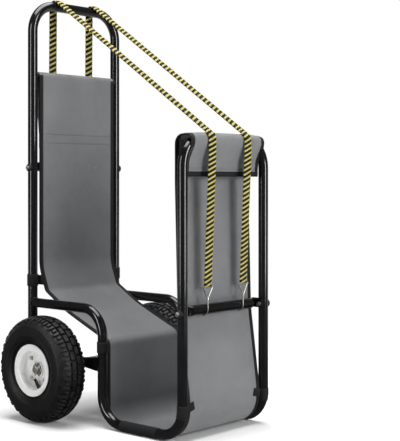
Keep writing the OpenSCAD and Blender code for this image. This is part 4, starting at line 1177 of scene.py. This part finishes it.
class LOGCART_OT_tyres(bpy.types.Operator):
    """Moulds the tyres: carcass, block tread, shoulder lugs, buffing bars and rim rings"""

    bl_idname = "logcart.tyres"
    bl_label = "Mould the tyres"

    columns = 6  # mesh columns in one pitch of the tread
    shoulder = 20  # angle on the section, in degrees, past which the shoulder lugs start

    def execute(self, context):
        f, y = sizes(), context.scene.log_cart_tyre
        for side, name in ((-1, "left"), (1, "right")):
            bm = self.mould(y)
            place = Matrix.Translation((side * (f.half_span + y.out), f.middle - f.axle_s, f.axle_z))
            turn = Matrix.Rotation(math.radians(side * 90), 4, "Y")
            bmesh.ops.transform(bm, matrix=place @ turn, verts=bm.verts)
            tyre = finished(
                bm, "block_tyre_" + name, "tyre_rubber", replaces=["tyre_" + name],
                body="wheel_" + name, material=finishes["tyre_" + name],
            )
            sharpen(tyre, 28)
        return {"FINISHED"}

    def eased(self, value, y):
        """A sine or cosine bent from the circle to the rounded square."""
        return math.copysign(abs(value) ** (2 / y.square), value)

    def on_square(self, y, degrees, up, down, half_w):
        """A place on a rounded square: Z is across the tread, X is outwards from the axle."""
        a = math.radians(degrees)
        s = self.eased(math.sin(a), y)
        return Vector((y.middle_r + (up if s > 0 else down) * s, 0, half_w * self.eased(math.cos(a), y)))

    def outer(self, y, degrees, rise):
        """The tyre's outside; rise goes from the bottom of the grooves, 0, to their top, 1."""
        up = y.tread_r - y.middle_r - y.lug_h * (1 - rise)
        return self.on_square(y, degrees, up, y.middle_r - y.inner_r, y.half_w)

    def cavity(self, y, degrees):
        """The tyre's inside, where the air is."""
        up = y.tread_r - y.lug_h - y.wall - y.middle_r
        return self.on_square(y, degrees, up, y.middle_r - y.cavity_r, y.half_w - y.wall)

    def mould(self, y):
        """Turns the closed section about the axle, then raises the tread from it."""
        # The rows' edges as angles on the section, from the outer rim to the inner one.
        widths = [w * MM for w in (33.6, 29, 24, 18, 14, 10, 6, 2)]
        tread = [math.degrees(math.acos((w / y.half_w) ** (y.square / 2))) for w in widths]
        half = [-48, -40, -31, -22, -12, 0, 9, 14, 19] + [a for a in tread if a > self.shoulder]
        angles = half + [180 - a for a in reversed(half)]
        rim, bead = 2 * MM, y.bead_w
        ring = [(y.bead_r, bead - rim), (y.bead_r + rim, bead), (y.seat_r, bead)]
        first = len(ring)
        ring = [Vector((x, 0, z)) for x, z in ring]
        back = [Vector((p.x, 0, -p.z)) for p in reversed(ring)]
        ring += [self.outer(y, a, 0) for a in angles] + back
        ring += [Vector((y.bead_r, 0, y.bead_t - bead))]
        ring += [self.cavity(y, 240 - 300 * k / 20) for k in range(21)]
        ring += [Vector((y.bead_r, 0, bead - y.bead_t))]
        bm = bmesh.new()
        rise, row = bm.verts.layers.float.new("rise"), bm.verts.layers.int.new("row")
        verts = [bm.verts.new(p) for p in ring]
        for k, a in enumerate(angles):
            verts[first + k][rise] = (self.outer(y, a, 1) - self.outer(y, a, 0)).length
            verts[first + k][row] = k + 1
        edges = [bm.edges.new(pair) for pair in zip(verts, verts[1:] + verts[:1])]
        steps = y.pitches * self.columns
        bmesh.ops.spin(
            bm, geom=verts + edges, cent=(0, 0, 0), axis=(0, 0, 1), angle=2 * math.pi,
            steps=steps, use_merge=True,
        )
        bmesh.ops.remove_doubles(bm, verts=bm.verts, dist=1e-6)
        bmesh.ops.recalc_face_normals(bm, faces=bm.faces)
        self.tread(bm, angles, rise, row, steps)
        return bm

    def tread(self, bm, angles, rise, row, steps):
        """Raises the blocks, the shoulder lugs and the small bars out of the carcass."""
        count = len(angles)
        shoulder = next(k for k, a in enumerate(angles) if a > self.shoulder)
        centre = count // 2
        # Rows count from the rim on either side, columns from the start of each pitch.
        blocks, lugs, bars, rings = [], [], [], []
        for face in bm.faces:
            k = min(v[row] for v in face.verts) - 1
            if k < 0 or k == centre - 1:
                continue
            m = face.calc_center_median()
            column = math.floor(math.atan2(m.y, m.x) / (2 * math.pi) * steps) % steps
            near = k < centre
            depth = k if near else count - 2 - k
            step = (column + (0 if near else self.columns // 2)) % self.columns
            from_edge = depth - shoulder
            if from_edge in (4, 5, 6) and step < self.columns - 1:
                blocks.append(face)
            elif from_edge in (0, 1, 2) and step % 3 < 2 and not (from_edge == 0 and step >= 3):
                lugs.append(face)
            elif from_edge == -2 and step % 3 < 2:
                bars.append(face)
            elif depth in (1, 3):
                rings.append(face)
        for faces, share in ((blocks, 1.0), (lugs, 0.96)):
            self.raised(bm, faces, rise, share)
        for faces, height in ((bars, 0.9 * MM), (rings, 0.7 * MM)):
            self.lifted(bm, faces, height)

    def raised(self, bm, faces, rise, share):
        """Draws faces outwards from the axle in two steps, so that their rims are chamfered."""
        done = 0.0
        for inset, part in ((0.45 * MM, 0.84), (0.75 * MM, 1.0)):
            bmesh.ops.inset_region(bm, faces=faces, thickness=inset, use_even_offset=True)
            for v in {v for face in faces for v in face.verts}:
                v.co += Vector((v.co.x, v.co.y, 0)).normalized() * v[rise] * share * (part - done)
            done = part

    def lifted(self, bm, faces, height):
        """Raises faces a little along their own normals."""
        bmesh.ops.inset_region(bm, faces=faces, thickness=0.5 * MM, use_even_offset=True)
        bm.normal_update()
        for v in {v for face in faces for v in face.verts}:
            v.co += v.normal * height


class LOGCART_OT_tabs(bpy.types.Operator):
    """Loops the webbing tabs round the tubes and the cloth wraps round the runners"""

    bl_idname = "logcart.tabs"
    bl_label = "Tie the sling to the tubes"

    def execute(self, context):
        f, c, t = sizes(), sling(), tabs()
        reach = t.air + t.thick / 2
        on_post, on_step = (-4 * MM, 24 * MM), (f.step_s - 9 * MM, f.step_s - 2.8 * MM)
        post, step, front, wraps = (bmesh.new() for _ in range(4))
        for side in (-1, 1):
            x, edge = side * f.half_span, side * (c.half_w - 0.75 * MM)
            self.loop(post, world(Vector((0, t.post_z)), x), f.post_r + reach, t.high)
            self.tongue(post, edge, on_post, t.post_z, t.high - 2 * MM, 0.55)
            self.loop(step, world(Vector((f.step_s, t.step_z)), x), f.rail_r + reach, t.step_high)
            self.tongue(step, edge, on_step, t.step_z, t.step_high - 2 * MM, 0)
            self.bend_band(front, x)
            self.patch(front, side)
            self.wrap(wraps, x)
        for bm, name, node in (
            (post, "post_loops", "post_tabs"), (step, "step_loops", "step_tabs"),
            (front, "front_loops", "front_tabs"), (wraps, "runner_sleeves", "runner_wraps"),
        ):
            finished(bm, name, "black_webbing", replaces=[node])
        return {"FINISHED"}

    def loop(self, bm, centre, radius, high):
        """A band of webbing round an upright tube."""
        frames = []
        for a in round_turns(48):
            out = Vector((math.cos(a), math.sin(a), 0))
            ease = 1 + 0.012 * math.sin(3 * a)
            frames.append((frame_at(centre + out * radius * ease, Vector((0, 0, 1)), out), a * radius))
        thick = tabs().thick
        sweep(bm, frames, box_section(high, thick, thick * 0.45), caps=False)

    def tongue(self, bm, x, ends, z, high, lean):
        """A strip from a loop to the sling's edge, cut off along the cloth."""
        thick = tabs().thick
        up = Vector((0, lean, 1)).normalized()
        places = [ends[0] + (ends[1] - ends[0]) * k / 8 for k in range(9)]
        frames = [(frame_at(world(Vector((s, z)), x), up, Vector((1, 0, 0))), s) for s in places]
        sweep(bm, frames, box_section(high, thick, thick * 0.45))

    def bend_band(self, bm, x):
        """The front loop, which follows the bend of the rail."""
        f, t = sizes(), tabs()
        centre = Vector((f.front_s - f.rail_bend_r, f.runner_z + f.rail_bend_r))
        frames = []
        for k in range(9):
            z = t.front_low + (t.front_high - t.front_low) * k / 8
            a = math.asin(min(0.0, (z - centre.y) / f.rail_bend_r))
            forward = centre.x + f.rail_bend_r * math.cos(a)
            height = max(z, centre.y + f.rail_bend_r * math.sin(a))
            aside, way = Vector((1, 0, 0)), Vector((0, math.sin(a), math.cos(a)))
            frames.append((frame_at(world(Vector((forward, height)), x), aside, way.cross(aside)), z))
        shell = bmesh.new()
        mid = f.rail_r + t.air + t.thick / 2
        sweep(shell, frames, round_section(mid, 40), caps=False)
        self.thicken(shell, t.thick)
        self.merge(bm, shell)

    def patch(self, bm, side):
        """The free end of the front loop, sewn to the face of the sling."""
        f, t = sizes(), tabs()
        s = f.front_s + 1.1 * MM
        tilt = math.radians(14)
        along = Vector((-side * math.cos(tilt), 0, math.sin(tilt)))
        up = Vector((side * math.sin(tilt), 0, math.cos(tilt)))
        start = world(Vector((s, t.patch_z)), side * t.patch_x)
        step = 4 * MM
        frames = [(frame_at(start + along * step * k, up, up.cross(along)), k * step) for k in range(7)]
        sweep(bm, frames, box_section(19 * MM, t.thick, t.thick * 0.4))

    def wrap(self, bm, x):
        """Cloth wound round a runner, worn flat where it stands on the floor."""
        f, t = sizes(), tabs()
        thick = 1.0 * MM
        section = []
        for across, up in round_section(f.rail_r + t.air + thick / 2, 48):
            section.append((across, max(up, thick / 2 - f.runner_z)))
        frames = []
        for k in range(41):
            s = t.wrap_from + (t.wrap_to - t.wrap_from) * k / 40
            # A hem stands up near either end.
            grow = 1 + (0.2 * MM if k in (1, 2, 38, 39) else 0) / f.rail_r
            place = world(Vector((s, f.runner_z)), x)
            m = frame_at(place, Vector((1, 0, 0)), Vector((0, 0, 1)))
            frames.append((m @ Matrix.Diagonal((grow, 1, 1, 1)), s))
        shell = bmesh.new()
        sweep(shell, frames, section, caps=False)
        self.thicken(shell, thick)
        for v in shell.verts:
            v.co.z = max(v.co.z, 0.0)
        self.merge(bm, shell)

    def thicken(self, shell, thick):
        """Gives a band its thickness, inwards and outwards, by the solidify operator."""
        bmesh.ops.recalc_face_normals(shell, faces=shell.faces)
        bmesh.ops.solidify(shell, geom=shell.faces[:], thickness=thick)

    def merge(self, bm, other):
        """Adds one mesh to another."""
        held = bpy.data.meshes.new("held")
        other.to_mesh(held)
        other.free()
        bm.from_mesh(held)
        bpy.data.meshes.remove(held)


class LOGCART_OT_stage(bpy.types.Operator):
    """Sets the floor, the studio light and the camera of the photograph"""

    bl_idname = "logcart.stage"
    bl_label = "Set the stage"

    def execute(self, context):
        look = context.scene.log_cart_stage
        bm = bmesh.new()
        bmesh.ops.create_circle(bm, cap_ends=True, segments=96, radius=14)
        floor = placed(bm, "floor", studio_floor())
        # The strips draw the long highlights on the tubes; the softboxes light the cloth and the tyres.
        for name, place, width, height, power, glossy in (
            ("front_strip", (0.35, -2.99, 1.3), 0.7, 2.6, 90, True),
            ("left_strip", (-3.0, 0.3, 1.2), 0.6, 2.4, 50, True),
            ("front_softbox", (-0.35, -3.0, 1.15), 0.9, 1.4, 62, False),
            ("left_softbox", (-3.0, 0.3, 1.2), 0.6, 2.4, 27, False),
            ("back_softbox", (0.8, 3.0, 1.3), 1.2, 1.6, 48, False),
        ):
            lamp = self.lamp(name, place, width, height, power)
            lamp.visible_diffuse, lamp.visible_glossy = not glossy, glossy
        self.lamp("top_softbox", (0.0, -0.1, 3.2), 2.6, 2.4, 142)
        self.surroundings(context)
        camera = bpy.data.cameras.new("photo_camera")
        camera.sensor_width = 36
        camera.lens = look.focal * camera.sensor_width
        camera.shift_x, camera.shift_y = look.shift_x, look.shift_y
        camera.clip_end = 60
        seat = bpy.data.objects.new("photo_camera", camera)
        context.scene.collection.objects.link(seat)
        seat.location = (look.camera_x, look.camera_y, look.camera_z)
        seat.rotation_euler = (math.radians(90), 0, -math.radians(look.azimuth))
        context.scene.camera = seat
        context.scene.view_settings.view_transform = "Standard"
        return {"FINISHED"}

    def lamp(self, name, place, width, height, power):
        light = bpy.data.lights.new(name, "AREA")
        light.shape, light.size, light.size_y, light.energy = "RECTANGLE", width, height, power
        lamp = bpy.data.objects.new(name, light)
        bpy.context.scene.collection.objects.link(lamp)
        lamp.location = place
        aim = Vector((0, 0, 0.45)) - Vector(place)
        lamp.rotation_euler = aim.to_track_quat("-Z", "Y").to_euler()
        return lamp

    def surroundings(self, context):
        """White behind the cart for camera, glossy and clear rays; a soft fill for the rest."""
        context.scene.world = studio = bpy.data.worlds.new("studio")
        studio.use_nodes = True
        tree = studio.node_tree
        tree.nodes.clear()
        path = add(tree, "ShaderNodeLightPath").outputs
        behind = facing_away(tree, add(tree, "ShaderNodeTexCoord").outputs["Generated"])
        glossy = maths(tree, "ADD", path["Is Glossy Ray"], path["Is Transmission Ray"], True)
        soft = blended(tree, glossy, 0.06, ranged(tree, behind, 0.7, 0.95, 0.1, 1.0))
        level = blended(tree, path["Is Camera Ray"], soft, 1.0)
        sky = add(tree, "ShaderNodeBackground", {"Color": (1, 1, 1, 1), "Strength": level})
        add(tree, "ShaderNodeOutputWorld", {"Surface": sky.outputs[0]})


class LOGCART_PT_panel(bpy.types.Panel):
    """Lists the steps that dress the cart, and its sizes"""

    bl_label = "Log Cart"
    bl_idname = "LOGCART_PT_panel"
    bl_space_type = "VIEW_3D"
    bl_region_type = "UI"
    bl_category = "Log Cart"

    def draw(self, context):
        for step in STEPS:
            self.layout.operator(step.bl_idname)
        for group in GROUPS:
            box = self.layout.box()
            values = getattr(context.scene, GROUPS[group])
            box.label(text=group.__doc__)
            for name in group.__annotations__:
                box.prop(values, name)


GROUPS = {
    CartFrameSizes: "log_cart_frame",
    SlingSizes: "log_cart_sling",
    StrapSizes: "log_cart_strap",
    TyreSizes: "log_cart_tyre",
    TabSizes: "log_cart_tab",
    StageLook: "log_cart_stage",
}
STEPS = [
    LOGCART_OT_finishes,
    LOGCART_OT_welds,
    LOGCART_OT_tyres,
    LOGCART_OT_sling,
    LOGCART_OT_tabs,
    LOGCART_OT_straps,
    LOGCART_OT_stage,
]


def register():
    for kind in [*GROUPS, *STEPS, LOGCART_PT_panel]:
        bpy.utils.register_class(kind)
    for group, name in GROUPS.items():
        setattr(bpy.types.Scene, name, PointerProperty(type=group))


def unregister():
    for name in GROUPS.values():
        delattr(bpy.types.Scene, name)
    for kind in reversed([*GROUPS, *STEPS, LOGCART_PT_panel]):
        bpy.utils.unregister_class(kind)


def main():
    register()
    for step in STEPS:
        family, action = step.bl_idname.split(".")
        getattr(getattr(bpy.ops, family), action)()
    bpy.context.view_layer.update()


if __name__ == "__main__":
    main()
